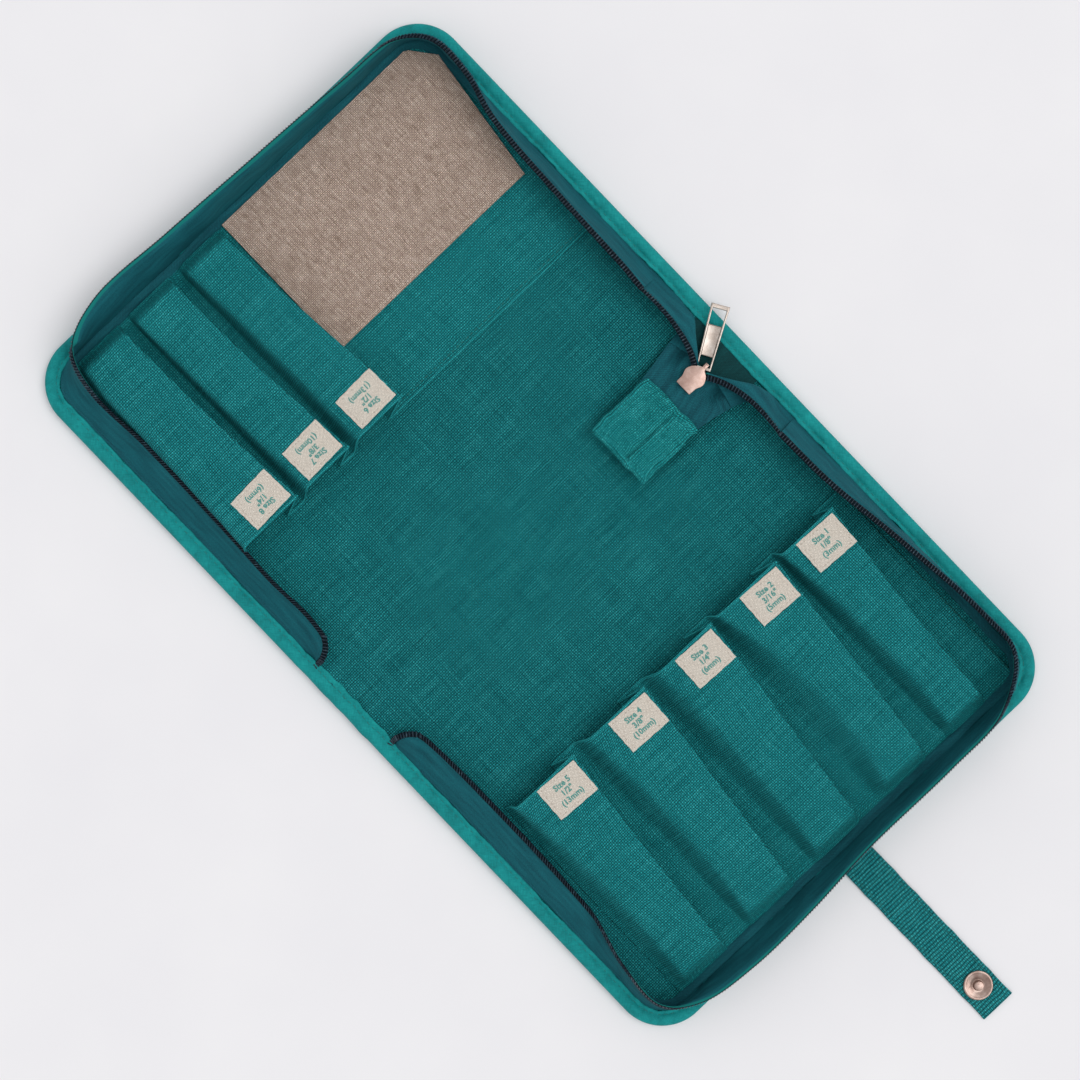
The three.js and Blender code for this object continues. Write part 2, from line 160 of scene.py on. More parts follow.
def plain_weave(name, shades, pitch, slub, relief, roughness=0.9, run=9.0, weft_share=0.45):
    """Canvas or linen: threads over and under each other, uneven along their run. shades go dark to light."""
    f = Finish(name, roughness, Specular_IOR_Level=0.15, Sheen_Weight=0.05, Sheen_Tint=dye(shades[2]))
    place = f.cloth_place()
    drift = f.node("ShaderNodeTexNoise", {"Vector": place, "Scale": 0.2}).outputs["Color"]
    wobble = f.scaled(drift, (1.1, 1.1, 0))
    shift = f.node("ShaderNodeVectorMath", {0: place, 1: wobble}, operation="ADD").outputs[0]
    split = f.node("ShaderNodeSeparateXYZ", {0: shift})
    x = f.sum("SINE", f.sum("MULTIPLY", split.outputs[0], np.pi / pitch[0]))
    y = f.sum("SINE", f.sum("MULTIPLY", split.outputs[1], np.pi / pitch[1]))
    over = f.sum("GREATER_THAN", f.sum("MULTIPLY", x, y), 0.0)
    across, along = f.sum("ABSOLUTE", x), f.sum("ABSOLUTE", y)
    warp_bump = f.sum("MULTIPLY", across, f.sum("POWER", along, 0.3))
    weft_bump = f.sum("MULTIPLY", f.sum("MULTIPLY", along, f.sum("POWER", across, 0.4)), 0.72)
    bump = f.node("ShaderNodeMix", {0: over, 2: weft_bump, 3: warp_bump}).outputs[0]
    warp = f.noise(f.scaled(shift, (1.1 / pitch[0], 0.8 / (run * pitch[0]), 1)), 1.0, 2.0, 0.6)
    weft = f.noise(f.scaled(shift, (0.8 / (run * pitch[1]), 1.1 / pitch[1], 1)), 1.0, 2.0, 0.6)
    grain = f.noise(place, 1.9, 2.0, 0.6)
    thread = f.node("ShaderNodeMix", {0: weft_share, 2: warp, 3: weft}).outputs[0]
    thread = f.spread(thread, 0.5 - slub, 0.5 + slub)
    mottle = f.spread(f.noise(place, 0.05, 3.0, 0.6), 0.25, 0.75)
    value = f.sum("ADD", f.sum("MULTIPLY", thread, 0.5), f.sum("MULTIPLY", mottle, 0.08))
    value = f.sum("ADD", value, f.sum("MULTIPLY", f.spread(grain, 0.34, 0.66), 0.42))
    colour = f.ramp(value, [(0.1, shades[0]), (0.5, shades[1]), (0.9, shades[2])])
    # Painted shade and highlight: colour darkened in the weave's hollows and lifted on the thread crests,
    # following its bump.
    cavity_shade = f.sum("ADD", f.sum("MULTIPLY", bump, 1.7), 0.11)
    shade_grey = f.node("ShaderNodeCombineColor", {0: cavity_shade, 1: cavity_shade, 2: cavity_shade}).outputs[0]
    colour = f.mix(1.0, colour, shade_grey, "MULTIPLY")
    height = f.sum("ADD", f.sum("ADD", bump, f.sum("MULTIPLY", thread, 0.7)), f.sum("MULTIPLY", grain, 0.5))
    rough = f.sum("ADD", f.sum("MULTIPLY", thread, -0.12), roughness + 0.05, clamp=True)
    return f.surface(colour, rough, height, relief)


def twill(name, shades, pitch, relief, edge=None):
    """Zip tape: fine diagonal ribs. edge is (from, to, colour) up the tape in mm, for its selvage."""
    f = Finish(name, 0.85, Specular_IOR_Level=0.18, Sheen_Weight=0.05, Sheen_Tint=dye(shades[2]))
    place = f.cloth_place()
    split = f.node("ShaderNodeSeparateXYZ", {0: place})
    diagonal = f.sum("ADD", split.outputs[0], split.outputs[1])
    rib = f.sum("SINE", f.sum("MULTIPLY", diagonal, 2 * np.pi / pitch))
    fine = f.sum("SINE", f.sum("MULTIPLY", split.outputs[1], 2 * np.pi / (pitch * 0.62)))
    height = f.sum("ADD", f.sum("MULTIPLY", rib, 0.5), f.sum("MULTIPLY", fine, 0.25))
    mottle = f.noise(f.scaled(place, (0.42, 0.05, 1), 0.8), 1.0, 3.0, 0.6)
    grain = f.noise(place, 1.6, 2.0, 0.6)
    value = f.sum("ADD", f.sum("MULTIPLY", mottle, 0.55), f.sum("MULTIPLY", grain, 0.45))
    # Painted shade: the ribs' crests a little lighter than their hollows.
    value = f.sum("ADD", value, f.sum("MULTIPLY", height, 0.12))
    colour = f.ramp(f.spread(value, 0.3, 0.7), [(0.0, shades[0]), (0.5, shades[1]), (1.0, shades[2])])
    if edge:
        low, high, shade = edge
        band = f.spread(split.outputs[0], low, high)
        colour = f.mix(band, colour, dye(shade))
    rough = f.sum("ADD", f.sum("MULTIPLY", grain, 0.15), 0.76)
    return f.surface(colour, rough, height, relief)


def smooth_cotton(name, shades):
    """Bias binding: a fine poplin with faint rubbed streaks."""
    f = Finish(name, 0.8, Specular_IOR_Level=0.2, Sheen_Weight=0.06, Sheen_Tint=dye(shades[2]))
    place = f.cloth_place()
    turned = f.scaled(place, (1, 1, 1), 0.785)
    threads = f.noise(f.scaled(turned, (2.6, 0.3, 1)), 1.0, 2.0, 0.6)
    cross = f.noise(f.scaled(turned, (0.3, 2.6, 1)), 1.0, 2.0, 0.6)
    mottle = f.noise(place, 0.12, 3.0, 0.6)
    value = f.sum("ADD", f.sum("MULTIPLY", f.sum("ADD", threads, cross), 0.3), f.sum("MULTIPLY", mottle, 0.4))
    colour = f.ramp(f.spread(value, 0.36, 0.64), [(0.0, shades[0]), (0.5, shades[1]), (1.0, shades[2])])
    height = f.sum("ADD", f.sum("ADD", threads, cross), f.sum("MULTIPLY", f.noise(place, 0.5, 3.0), 1.2))
    rough = f.sum("ADD", f.sum("MULTIPLY", mottle, 0.2), 0.66)
    return f.surface(colour, rough, height, 0.09)


def sewing_thread(name, shades):
    """Twisted thread: plies along each stitch, lighter and darker with their relief, as painted shade."""
    f = Finish(name, 0.6, Specular_IOR_Level=0.3)
    place = f.solid_place()
    inputs = {"Vector": f.scaled(place, (1, 1, 1), 0.6), "Scale": 1.1, "Distortion": 1.0}
    ply = f.node("ShaderNodeTexWave", inputs, bands_direction="DIAGONAL").outputs["Fac"]
    # Painted shade: colour follows the plies' relief.
    colour = f.ramp(ply, [(0.0, shades[0]), (1.0, shades[1])])
    rough = f.sum("ADD", f.sum("MULTIPLY", ply, 0.15), 0.5)
    return f.surface(colour, rough, ply, 0.06)


def nylon(name):
    """Zip coil: near-black monofilament that shines, dulled where it has been run over."""
    f = Finish(name, 0.3, Specular_IOR_Level=0.4)
    place = f.solid_place()
    wear = f.noise(place, 0.5, 2.0, 0.6)
    shades = [(0.0, (12, 26, 38)), (0.6, (22, 42, 56)), (1.0, (56, 80, 92))]
    colour = f.ramp(f.spread(wear, 0.35, 0.7), shades)
    rough = f.sum("ADD", f.sum("MULTIPLY", wear, 0.3), 0.14)
    return f.surface(colour, rough, wear, 0.05)


def metal(name, shades, roughness, brushed=0.12):
    """Plated nickel: soft cloudy plating, faint brushing and small handling scratches."""
    f = Finish(name, roughness, Metallic=1.0)
    place = f.solid_place()
    cloud = f.noise(place, 0.28, 3.0, 0.6)
    brush = f.noise(f.scaled(place, (9, 0.7, 9), 0.48), 1.0, 3.0, 0.6)
    scratch = f.noise(f.scaled(place, (0.6, 14, 3), 0.9), 1.0, 1.0)
    nick = f.spread(scratch, 0.66, 0.72)
    value = f.sum("ADD", f.sum("MULTIPLY", cloud, 0.7), f.sum("MULTIPLY", brush, 0.3))
    colour = f.ramp(f.spread(value, 0.35, 0.65), [(0.0, shades[0]), (0.5, shades[1]), (1.0, shades[2])])
    rough = f.sum("ADD", f.sum("MULTIPLY", f.sum("ADD", brush, nick), brushed), roughness - 0.03)
    height = f.sum("SUBTRACT", f.sum("MULTIPLY", brush, 0.4), nick)
    return f.surface(colour, rough, height, 0.012)


def foam_board():
    f = Finish("foam_board", 0.95, Specular_IOR_Level=0.2)
    place = f.solid_place()
    cells = f.noise(place, 1.4, 4.0, 0.7)
    colour = f.ramp(cells, [(0.3, (112, 112, 108)), (0.7, (156, 155, 150))])
    rough = f.sum("ADD", f.sum("MULTIPLY", cells, 0.1), 0.88)
    return f.surface(colour, rough, cells, 0.15)


def print_ink():
    f = Finish("label_ink", 0.8, Specular_IOR_Level=0.2)
    place = f.solid_place()
    speckle = f.noise(place, 2.4, 3.0, 0.7)
    colour = f.ramp(speckle, [(0.3, (60, 128, 122)), (0.7, (104, 160, 152))])
    rough = f.sum("ADD", f.sum("MULTIPLY", speckle, 0.15), 0.72)
    return f.surface(colour, rough, speckle, 0.02)


# Shades go from dark to light. A weave then has its thread pitch across and along in mm, the spread of its
# slubs and its relief.
CANVAS_PITCH = (0.9, 0.9)
FINE_PITCH = (0.8, 0.8)
LINING = plain_weave(
    "lining_canvas", [(2, 72, 76), (12, 107, 111), (44, 148, 150)], CANVAS_PITCH, 0.19, 0.2, run=18.0)
# The lining's canvas made a little lighter for the pockets: painted light on the raised faces of the tubes.
LIT_POCKET_CANVAS = plain_weave(
    "pocket_canvas", [(4, 80, 84), (16, 117, 121), (50, 158, 160)], CANVAS_PITCH, 0.19, 0.2, run=18.0)
PATCH = plain_weave(
    "patch_canvas", [(6, 84, 86), (20, 124, 126), (50, 160, 160)], FINE_PITCH, 0.14, 0.15)
# A lighter copy of the pocket canvas for the hem roll at the tubes' mouths: painted highlight on the folded
# edges.
HEM_HIGHLIGHT = plain_weave(
    "pocket_hem_painted_highlight", [(10, 104, 108), (26, 134, 138), (52, 162, 164)], FINE_PITCH, 0.15, 0.1)
OUTER = plain_weave(
    "outer_canvas", [(6, 88, 92), (20, 112, 116), (42, 138, 140)], FINE_PITCH, 0.17, 0.14)
STRAP = plain_weave(
    "strap_canvas", [(8, 88, 94), (26, 120, 124), (56, 152, 152)], (1.5, 0.8), 0.15, 0.28, run=6.0)
LINEN = plain_weave(
    "natural_linen", [(124, 104, 90), (172, 152, 138), (212, 196, 182)], (0.7, 0.7), 0.13, 0.14,
    run=8.0, weft_share=0.62)
LABEL = plain_weave(
    "label_cotton", [(196, 186, 172), (214, 205, 192), (230, 224, 213)], (0.4, 0.4), 0.25, 0.04)
RIB = 0.9  # pitch of the zip tape's diagonal ribs
SELVAGE = (17.1, 17.3, (14, 116, 112))
TAPE = twill("zip_tape", [(8, 65, 75), (15, 86, 96), (24, 106, 115)], RIB, 0.07, SELVAGE)
TAIL = twill("zip_tail_tape", [(7, 58, 68), (15, 80, 90), (26, 103, 112)], RIB, 0.07)
# Dark twill for the spine's end: painted shadow, darker than the tapes, for lining that lies in shade beside
# the slider.
SPINE_END_SHADOW = twill("spine_end_shadow_strip", [(5, 46, 48), (9, 60, 62), (14, 74, 76)], RIB, 0.05)
CORE = twill("coil_core_thread", [(2, 10, 16), (4, 18, 26), (10, 30, 40)], 0.7, 0.05)
BINDING = smooth_cotton("binding_cotton", [(4, 112, 112), (12, 135, 135), (26, 154, 152)])
THREAD = sewing_thread("teal_thread", [(12, 84, 84), (36, 136, 132)])
CREAM_THREAD = sewing_thread("cream_thread", [(150, 134, 120), (204, 190, 176)])
COIL = nylon("zip_coil")
NICKEL = metal("nickel_pull", [(164, 151, 141), (180, 168, 158), (196, 187, 179)], 0.3)
ROSE_NICKEL = metal("nickel_slider", [(164, 136, 126), (178, 151, 140), (192, 168, 158)], 0.34)
BUTTON_NICKEL = metal("nickel_snap", [(140, 116, 106), (164, 140, 130), (188, 168, 158)], 0.3)
FOAM = foam_board()
INK = print_ink()


# ---- Bench helpers ----
def deselect():
    if bpy.context.mode != "OBJECT":
        bpy.ops.object.mode_set(mode="OBJECT")
    bpy.ops.object.select_all(action="DESELECT")


def pick(piece):
    deselect()
    piece.select_set(True)
    bpy.context.view_layer.objects.active = piece


def made(name, finish=None):
    """The primitive just added, named, with its place in its mesh."""
    piece = bpy.context.object
    piece.name = piece.data.name = name
    bpy.ops.object.transform_apply(location=True, rotation=True, scale=True)
    if finish:
        piece.data.materials.append(finish)
    return piece


def apply(piece, kind, **settings):
    pick(piece)
    modifier = piece.modifiers.new(kind.title(), kind)
    for key, value in settings.items():
        setattr(modifier, key, value)
    bpy.ops.object.modifier_apply(modifier=modifier.name)
    return piece


def bevelled(piece, width, segments=3, angle=35):
    """Softens the piece's sharp edges. width is in mm."""
    limit = np.radians(angle)
    return apply(piece, "BEVEL", width=width * MM, segments=segments, limit_method="ANGLE", angle_limit=limit)


def face_out(piece):
    pick(piece)
    bpy.ops.object.mode_set(mode="EDIT")
    bpy.ops.mesh.select_all(action="SELECT")
    bpy.ops.mesh.remove_doubles(threshold=1e-6)
    bpy.ops.mesh.normals_make_consistent(inside=False)
    bpy.ops.object.mode_set(mode="OBJECT")
    return piece


def smooth(piece, degrees=40.0):
    pick(piece)
    bpy.ops.object.shade_smooth_by_angle(angle=np.radians(degrees))
    return piece


def coordinates(mesh):
    flat = np.empty(len(mesh.vertices) * 3, np.float32)
    mesh.vertices.foreach_get("co", flat)
    return flat.reshape(-1, 3).astype(float)


def lengths_along(points, axis):
    """Distance run along each line of a grid of points."""
    steps = np.linalg.norm(np.diff(points, axis=axis), axis=2)
    shape = list(points.shape[:2])
    shape[axis] = 1
    return np.concatenate([np.zeros(shape), np.cumsum(steps, axis=axis)], axis=axis)


def cloth(name, points, finish, thick=0.7, offset=0.0, warp=None, angle=60.0):
    """A sheet through a grid of points in mm, with thickness. Its UV map is the flat cloth, in metres."""
    rows, columns = points.shape[0] - 1, points.shape[1] - 1
    deselect()
    bpy.ops.mesh.primitive_grid_add(x_subdivisions=columns, y_subdivisions=rows, size=1)
    piece = made(name, finish)
    mesh = piece.data
    mesh.vertices.foreach_set("co", (points.reshape(-1, 3) * MM).astype(np.float32).ravel())
    across = lengths_along(points, 1)
    along = np.repeat(lengths_along(points, 0)[:, columns // 2:columns // 2 + 1], columns + 1, axis=1)
    flat = np.stack([across, along] if warp is None else warp, axis=2).reshape(-1, 2) * MM
    corner = np.empty(len(mesh.loops), np.int32)
    mesh.loops.foreach_get("vertex_index", corner)
    mesh.uv_layers.active.data.foreach_set("uv", flat[corner].astype(np.float32).ravel())
    mesh.update()
    if thick:
        apply(piece, "SOLIDIFY", thickness=thick * MM, offset=offset, use_even_offset=False)
        face_out(piece)
    return smooth(piece, angle)


def copies(name, model, origins, axes, finish):
    """One piece of many copies of a small model, each turned to its own three axes. The model is used up."""
    base = coordinates(model.data)
    faces = [list(p.vertices) for p in model.data.polygons]
    count = len(origins)
    points = np.asarray(origins)[:, None, :] * MM + np.einsum("vi,kij->kvj", base, np.asarray(axes))
    starts = np.arange(count) * len(base)
    mesh = bpy.data.meshes.new(name)
    all_faces = [[v + start for v in face] for start in starts.tolist() for face in faces]
    mesh.from_pydata(points.reshape(-1, 3).tolist(), [], all_faces)
    mesh.polygons.foreach_set("use_smooth", np.ones(len(mesh.polygons), bool))
    mesh.materials.append(finish)
    piece = bpy.data.objects.new(name, mesh)
    bpy.context.scene.collection.objects.link(piece)
    bpy.data.objects.remove(model)
    return piece


def unit(vectors):
    return vectors / np.maximum(np.linalg.norm(vectors, axis=-1, keepdims=True), 1e-9)


def run_along(line):
    """Distance run along a line of points, from its start."""
    return np.concatenate([[0], np.cumsum(np.linalg.norm(np.diff(line, axis=0), axis=1))])


def len_of(line):
    """Length of a line of points."""
    return float(np.linalg.norm(np.diff(line, axis=0), axis=1).sum())


def looked_up(places, run, values):
    """Rows of values at places along a line whose points are at the distances run."""
    return np.stack([np.interp(places, run, values[:, i]) for i in range(3)], 1)


def spaced(points, distances):
    """Points at given distances along a line, and the line's direction there."""
    run = run_along(points)
    at = looked_up(distances, run, points)
    ahead = looked_up(distances + 0.3, run, points)
    behind = looked_up(distances - 0.3, run, points)
    return at, unit(ahead - behind)


def stitches(name, route, up, finish, pitch=3.0, long=2.2, wide=0.5, sunk=0.1):
    """A row of sewing stitches along a route. up is the cloth's outward direction at each of its points."""
    places = np.arange(pitch / 2, len_of(route), pitch)
    at, heading = spaced(route, places)
    run = run_along(route)
    up = np.broadcast_to(up, route.shape)
    out = unit(looked_up(places, run, up))
    side = unit(np.cross(out, heading))
    out = np.cross(heading, side)
    deselect()
    bpy.ops.mesh.primitive_uv_sphere_add(segments=6, ring_count=4, radius=0.5, rotation=(0, np.pi / 2, 0))
    model = made(name + "_model")
    bpy.ops.object.mode_set(mode="EDIT")
    bpy.ops.mesh.select_all(action="SELECT")
    bpy.ops.transform.resize(value=(long * MM, wide * MM, 0.7 * wide * MM))
    bpy.ops.object.mode_set(mode="OBJECT")
    return copies(name, model, at - out * sunk, np.stack([heading, side, out], 1), finish)


def wander(places, wavelength, seed):
    """A smooth uneven wave between about -1 and 1."""
    rng = np.random.default_rng(seed)
    total = np.zeros_like(places, dtype=float)
    for share in (1.0, 0.61, 0.38):
        total += share * np.sin(2 * np.pi * places / (wavelength * share) + rng.uniform(0, 2 * np.pi))
    return total / 1.5


def ripple(x, y, wavelength, seed):
    """The same over a surface."""
    rng = np.random.default_rng(seed)
    total = np.zeros(np.broadcast(x, y).shape)
    for _ in range(6):
        turn, phase, stretch = rng.uniform(0, np.pi), rng.uniform(0, 2 * np.pi), rng.uniform(0.7, 1.5)
        total += np.sin(2 * np.pi * (x * np.cos(turn) + y * np.sin(turn)) / (wavelength * stretch) + phase)
    return total / 3.5


def ease(value, low, high):
    t = np.clip((value - low) / (high - low), 0, 1)
    return t * t * (3 - 2 * t)


def smooth_route(points, count):
    """Points at even distances along a smooth curve through the given ones."""
    p = np.asarray(points, float)
    p = np.vstack([2 * p[0] - p[1], p, 2 * p[-1] - p[-2]])
    knots = np.concatenate([[0], np.cumsum(np.linalg.norm(np.diff(p, axis=0), axis=1) ** 0.5)])
    fine = []
    for i in range(1, len(p) - 2):
        k0, k1, k2, k3 = knots[i - 1:i + 3]
        t = np.linspace(k1, k2, 24, endpoint=i == len(p) - 3)[:, None]
        a1 = ((k1 - t) * p[i - 1] + (t - k0) * p[i]) / (k1 - k0)
        a2 = ((k2 - t) * p[i] + (t - k1) * p[i + 1]) / (k2 - k1)
        a3 = ((k3 - t) * p[i + 1] + (t - k2) * p[i + 2]) / (k3 - k2)
        b1 = ((k2 - t) * a1 + (t - k0) * a2) / (k2 - k0)
        b2 = ((k3 - t) * a2 + (t - k1) * a3) / (k3 - k1)
        fine.append(((k2 - t) * b1 + (t - k1) * b2) / (k2 - k1))
    fine = np.vstack(fine)
    run = run_along(fine)
    even = np.linspace(0, run[-1], count)
    return looked_up(even, run, fine)


def round_edge(side, distance, inset, start_x=0.0):
    """Point and outward direction round a cover's edge, from start_x on the tucked side to the slider."""
    cx, cy = HALF_SPAN - CORNER_R, HALF_DEPTH - CORNER_R
    arc = CORNER_R * np.pi / 2
    first, second, third = cx - start_x, cx - start_x + arc, cx - start_x + arc + 2 * cy
    turn = np.clip((distance - first) / CORNER_R, 0, np.pi / 2) - np.pi / 2
    turn = turn + np.clip((distance - third) / CORNER_R, 0, np.pi / 2)
    x = start_x + np.clip(distance, 0, first) - np.clip(distance - third - arc, 0, None)
    y = -cy + np.clip(distance - second, 0, 2 * cy)
    out = np.stack([side * np.cos(turn), np.sin(turn), np.zeros_like(turn)], -1)
    point = np.stack([side * x, y, np.zeros_like(turn)], -1)
    return point + out * np.expand_dims(CORNER_R - inset, -1), out


EDGE_LENGTH = 2 * (HALF_SPAN - CORNER_R) + np.pi * CORNER_R + 2 * (HALF_DEPTH - CORNER_R)


def cross_fold(piece):
    """Bakes the piece's transform into its mesh; the cloth is not bent at the fold line."""
    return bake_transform(piece)


# ---- Binding ----
# Its section, from under the edge, round it, and over the seam to the inner lip: inset and height
BINDING_SECTION = [
    (6.7, 0.5), (5.0, 0.35), (3.2, 0.35), (1.7, 0.4), (0.8, 0.9), (0.25, 1.7), (0.0, 2.7), (0.1, 3.7),
    (0.5, 4.6), (1.1, 5.2), (1.9, 5.6), (2.9, 5.8), (3.9, 5.8), (4.6, 5.6), (5.2, 5.3), (5.8, 5.5),
    (6.4, 5.75), (6.9, 5.7), (7.1, 5.4), (7.0, 4.9),
]
BINDING_SEAM = 5.2  # inset of its stitches
CORNER_AT = 187.0  # distance along the edge of the middle of a rounded corner


def binding(side):
    """The strip wrapped round a cover's edge, a little puckered, with its stitches."""
    distance = np.linspace(0, EDGE_LENGTH, 560)
    inset, height = np.array(BINDING_SECTION).T
    s, w = np.meshgrid(distance, inset, indexing="ij")
    z = np.broadcast_to(height, s.shape).copy()
    top = ease(z, 3.0, 5.2)
    seam = np.exp(-(((w - BINDING_SEAM) / 0.9) ** 2)) * top
    between = ease(w, 0.3, 2.0) * (1 - ease(w, 4.6, 5.4)) * top
    first_corner = np.exp(-(((s - CORNER_AT) / 30) ** 2))
    last_corner = np.exp(-(((s - EDGE_LENGTH + CORNER_AT) / 30) ** 2))
    corner = 1 + 0.5 * first_corner + 0.5 * last_corner
    z += -0.32 * seam * (0.65 + 0.35 * np.cos(2 * np.pi * s / 3.0))
    run = side * s
    calm = 1 - ease(s, EDGE_LENGTH - 14, EDGE_LENGTH - 1)
    z += calm * between * corner * (0.16 * wander(run + 0.8 * w * side, 5.3, 3) + 0.2 * wander(run, 23.0, 5))
    z += calm * 0.25 * wander(run, 47.0, 9) * ease(w, 5.0, 7.0) * top
    sag = np.exp(-((s / 26.0) ** 2)) * wander(run, 21.0, 12)
    z += 0.5 * sag * top
    if side < 0:
        join = s - (EDGE_LENGTH - 90) - 2.1 * w
        z += 0.45 * np.exp(-((join / 1.1) ** 2)) * top
    inner = ease(w, 4.0, 7.0)
    w = w + calm * (0.35 * wander(run, 61.0, 21) + 0.18 * wander(run, 9.0, 25)) * inner
    w = w + 1.2 * np.exp(-((s / 19.0) ** 4)) * inner
    edge, out = round_edge(side, s, w)
    edge[..., 2] = np.maximum(z, 0.3)
    edge[..., :2] -= out[..., :2] * (0.5 * sag * ease(z, 1.5, 5.5))[..., None]
    piece = cloth(f"{WORD[side]}_edge_binding", edge, BINDING, 0.6, -1.0 if side < 0 else 1.0)
    ends = "spine_binding_slider_end" if side < 0 else "spine_binding_tucked_end"
    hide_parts(f"{WORD[side]}_binding", ends)
    cross_fold(piece)
    column = int(np.argmin(np.abs(inset - BINDING_SEAM) + (height < 4)))
    sewn = stitches(f"{WORD[side]}_binding_stitches", edge[:, column], UP, THREAD, sunk=0.0)
    cross_fold(sewn)


# ---- Covers: foam pad, outer canvas and lining ----
def slab_half_depth(x, inset):
    """Half the depth of a cover's layer at x, following the rounded corners."""
    cx, cy, r = HALF_SPAN - CORNER_R, HALF_DEPTH - CORNER_R, CORNER_R - inset
    over = np.clip(np.abs(x) - cx, 0, r)
    return cy + np.sqrt(np.maximum(r * r - over * over, 0))


PAD_INSET = 2.2
PAD_MIDDLE, PAD_THICK = 2.2, 1.7
PAD_LOW, PAD_HIGH = 0.95, 3.45  # what the canvas and the lining leave free
PAD_SWELL = 0.6


def swell(piece, cap, frames=12):
    """Lets a foam-filled pad swell under cloth simulation, by no more than cap mm."""
    start = coordinates(piece.data)
    pick(piece)
    bpy.ops.object.modifier_add(type="CLOTH")
    sim = piece.modifiers[-1]
    sim.settings.use_pressure = True
    sim.settings.uniform_pressure_force = 4.0
    sim.settings.effector_weights.gravity = 0.0
    sim.settings.quality = 4
    sim.point_cache.frame_start, sim.point_cache.frame_end = 1, frames
    for step in range(1, frames + 1):
        bpy.context.scene.frame_set(step)
    bpy.ops.object.modifier_apply(modifier=sim.name)
    bpy.context.scene.frame_set(1)
    moved = coordinates(piece.data) - start
    length = np.linalg.norm(moved, axis=1, keepdims=True)
    moved *= np.minimum(1.0, cap * MM / np.maximum(length, 1e-9))
    result = start + moved
    result[:, 2] = np.clip(result[:, 2], PAD_LOW * MM, PAD_HIGH * MM)
    piece.data.vertices.foreach_set("co", result.astype(np.float32).ravel())
    piece.data.update()


def pad(name, x0, x1, body, node):
    """Foam and board inside a cover."""
    columns, rows = max(6, int(abs(x1 - x0) / 5)), 44
    u, v = np.meshgrid(np.linspace(0, 1, columns + 1), np.linspace(-1, 1, rows + 1))
    x = x0 + (x1 - x0) * u
    y = v * slab_half_depth(x, PAD_INSET)
    piece = cloth(name, np.stack([x, y, np.full_like(x, PAD_MIDDLE)], 2), FOAM, PAD_THICK)
    swell(piece, PAD_SWELL)
    smooth(piece, 60)
    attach(piece, body)
    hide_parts(node)


MEETING_LAP = 0.3  # how far each half of a spine-crossing cloth reaches past the middle


def floor_relief(x, y):
    """Height of the lining: creased along the fold lines, and slightly uneven."""
    crease = 1.0 * np.exp(-(((x - 21) / 2.0) ** 2)) - 1.1 * np.exp(-(((x + 13) / 2.0) ** 2))
    crease += 0.8 * np.exp(-(((x + 19) / 2.4) ** 2)) - 0.7 * np.exp(-(((x - 15.5) / 2.8) ** 2))
    crease += 0.25 * np.exp(-(((x - 33) / 9.0) ** 2)) * np.sin(y / 23.0)
    return LINING_TOP + 0.05 + crease + 0.16 * ripple(x, y, 34.0, 41) + 0.05 * ripple(x, y, 9.0, 43)


def cloth_places(side, inset, columns, rows):
    """A cover's cloth from the middle of the spine outwards: x, y and the distance to its edge."""
    u, v = np.meshgrid(np.linspace(0, 1, columns), np.linspace(-1, 1, rows))
    x = side * (u * (HALF_SPAN - inset) - MEETING_LAP * (1 - u))
    half = slab_half_depth(x, inset)
    y = v * half
    return x, y, np.minimum(half - np.abs(y), HALF_SPAN - inset - np.abs(x))


def lining(side):
    """The canvas floor, lower where it goes under the binding."""
    x, y, to_edge = cloth_places(side, 1.5, 101, 109)
    z = LINING_TOP + (floor_relief(x, y) - LINING_TOP) * ease(to_edge, 5.5, 13.0)
    z -= 0.5 * (1 - ease(to_edge, 2.0, 6.0))
    flat = [x + HALF_SPAN, y - y.min()]
    piece = cloth(f"{WORD[side]}_lining_cloth", np.stack([x, y, z + 0.02 * side], 2), LINING, 0.7, -1.0, flat)
    nodes = [f"{WORD[side]}_lining"] + (["spine_lining"] if side > 0 else [])
    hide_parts(*nodes)
    cross_fold(piece)


def outer_canvas(side):
    """The outside of a cover and its half of the spine, sewn through at the fold line."""
    x, y, to_edge = cloth_places(side, 3.0, 81, 91)
    ditch = np.exp(-(((np.abs(x) - FOLD_X) / 2.0) ** 2))
    rim = 1 - ease(to_edge, 0.0, 7.0)
    z = 0.15 + 0.75 * ditch + 0.5 * rim + 0.1 * (1 + ripple(x, y, 30.0, 51))
    flat = [x + HALF_SPAN, y - y.min()]
    points = np.stack([x, y, z], 2)
    piece = cloth(f"{WORD[side]}_outer_canvas", points, OUTER, 0.6, float(side), flat)
    nodes = [f"outer_{WORD[side]}_panel"] + (["outer_spine_panel"] if side > 0 else [])
    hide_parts(*nodes)
    cross_fold(piece)
    line_x = side * FOLD_X
    y = np.linspace(-HALF_DEPTH + 7, HALF_DEPTH - 7, 120)
    route = np.stack([np.full_like(y, line_x), y, np.full_like(y, 0.75)], 1)
    sewn = stitches(f"{WORD[side]}_fold_stitches", route, np.array([0, 0, -1.0]), THREAD)
    cross_fold(sewn)


# ---- Zip tape: a wall on its foot line, leaning so that its top edge follows a route ----
FRONT_TOP = [
    [21.2, -108.2], [21.5, -102.5], [24.2, -98.2], [29.5, -95.2], [38, -93.5], [58, -95.4],
    [82, -94.1], [108, -93.1], [134, -93], [164, -95.7], [184.4, -88.5], [193.2, -68],
    [192, -29], [190, 12], [187.2, 66], [184.6, 93], [174.5, 104.2], [155, 105], [134, 100.2],
    [93.6, 98], [53, 97], [WALL_END_X, 96.2],
]
BACK_TOP = [
    [22.2, -108.2], [22.4, -102.5], [25.0, -97.8], [30.5, -94.2], [40, -92.0],
    [91, -91.3], [132, -95], [156, -100.4], [176.5, -100.4],
    [187.6, -87], [191.8, -62], [191.5, -29], [189, 5], [188.9, 53], [186.9, 82], [172.5, 103.2],
    [152, 105], [111, 101.8], [70, 97], [WALL_END_X, 96.2],
]
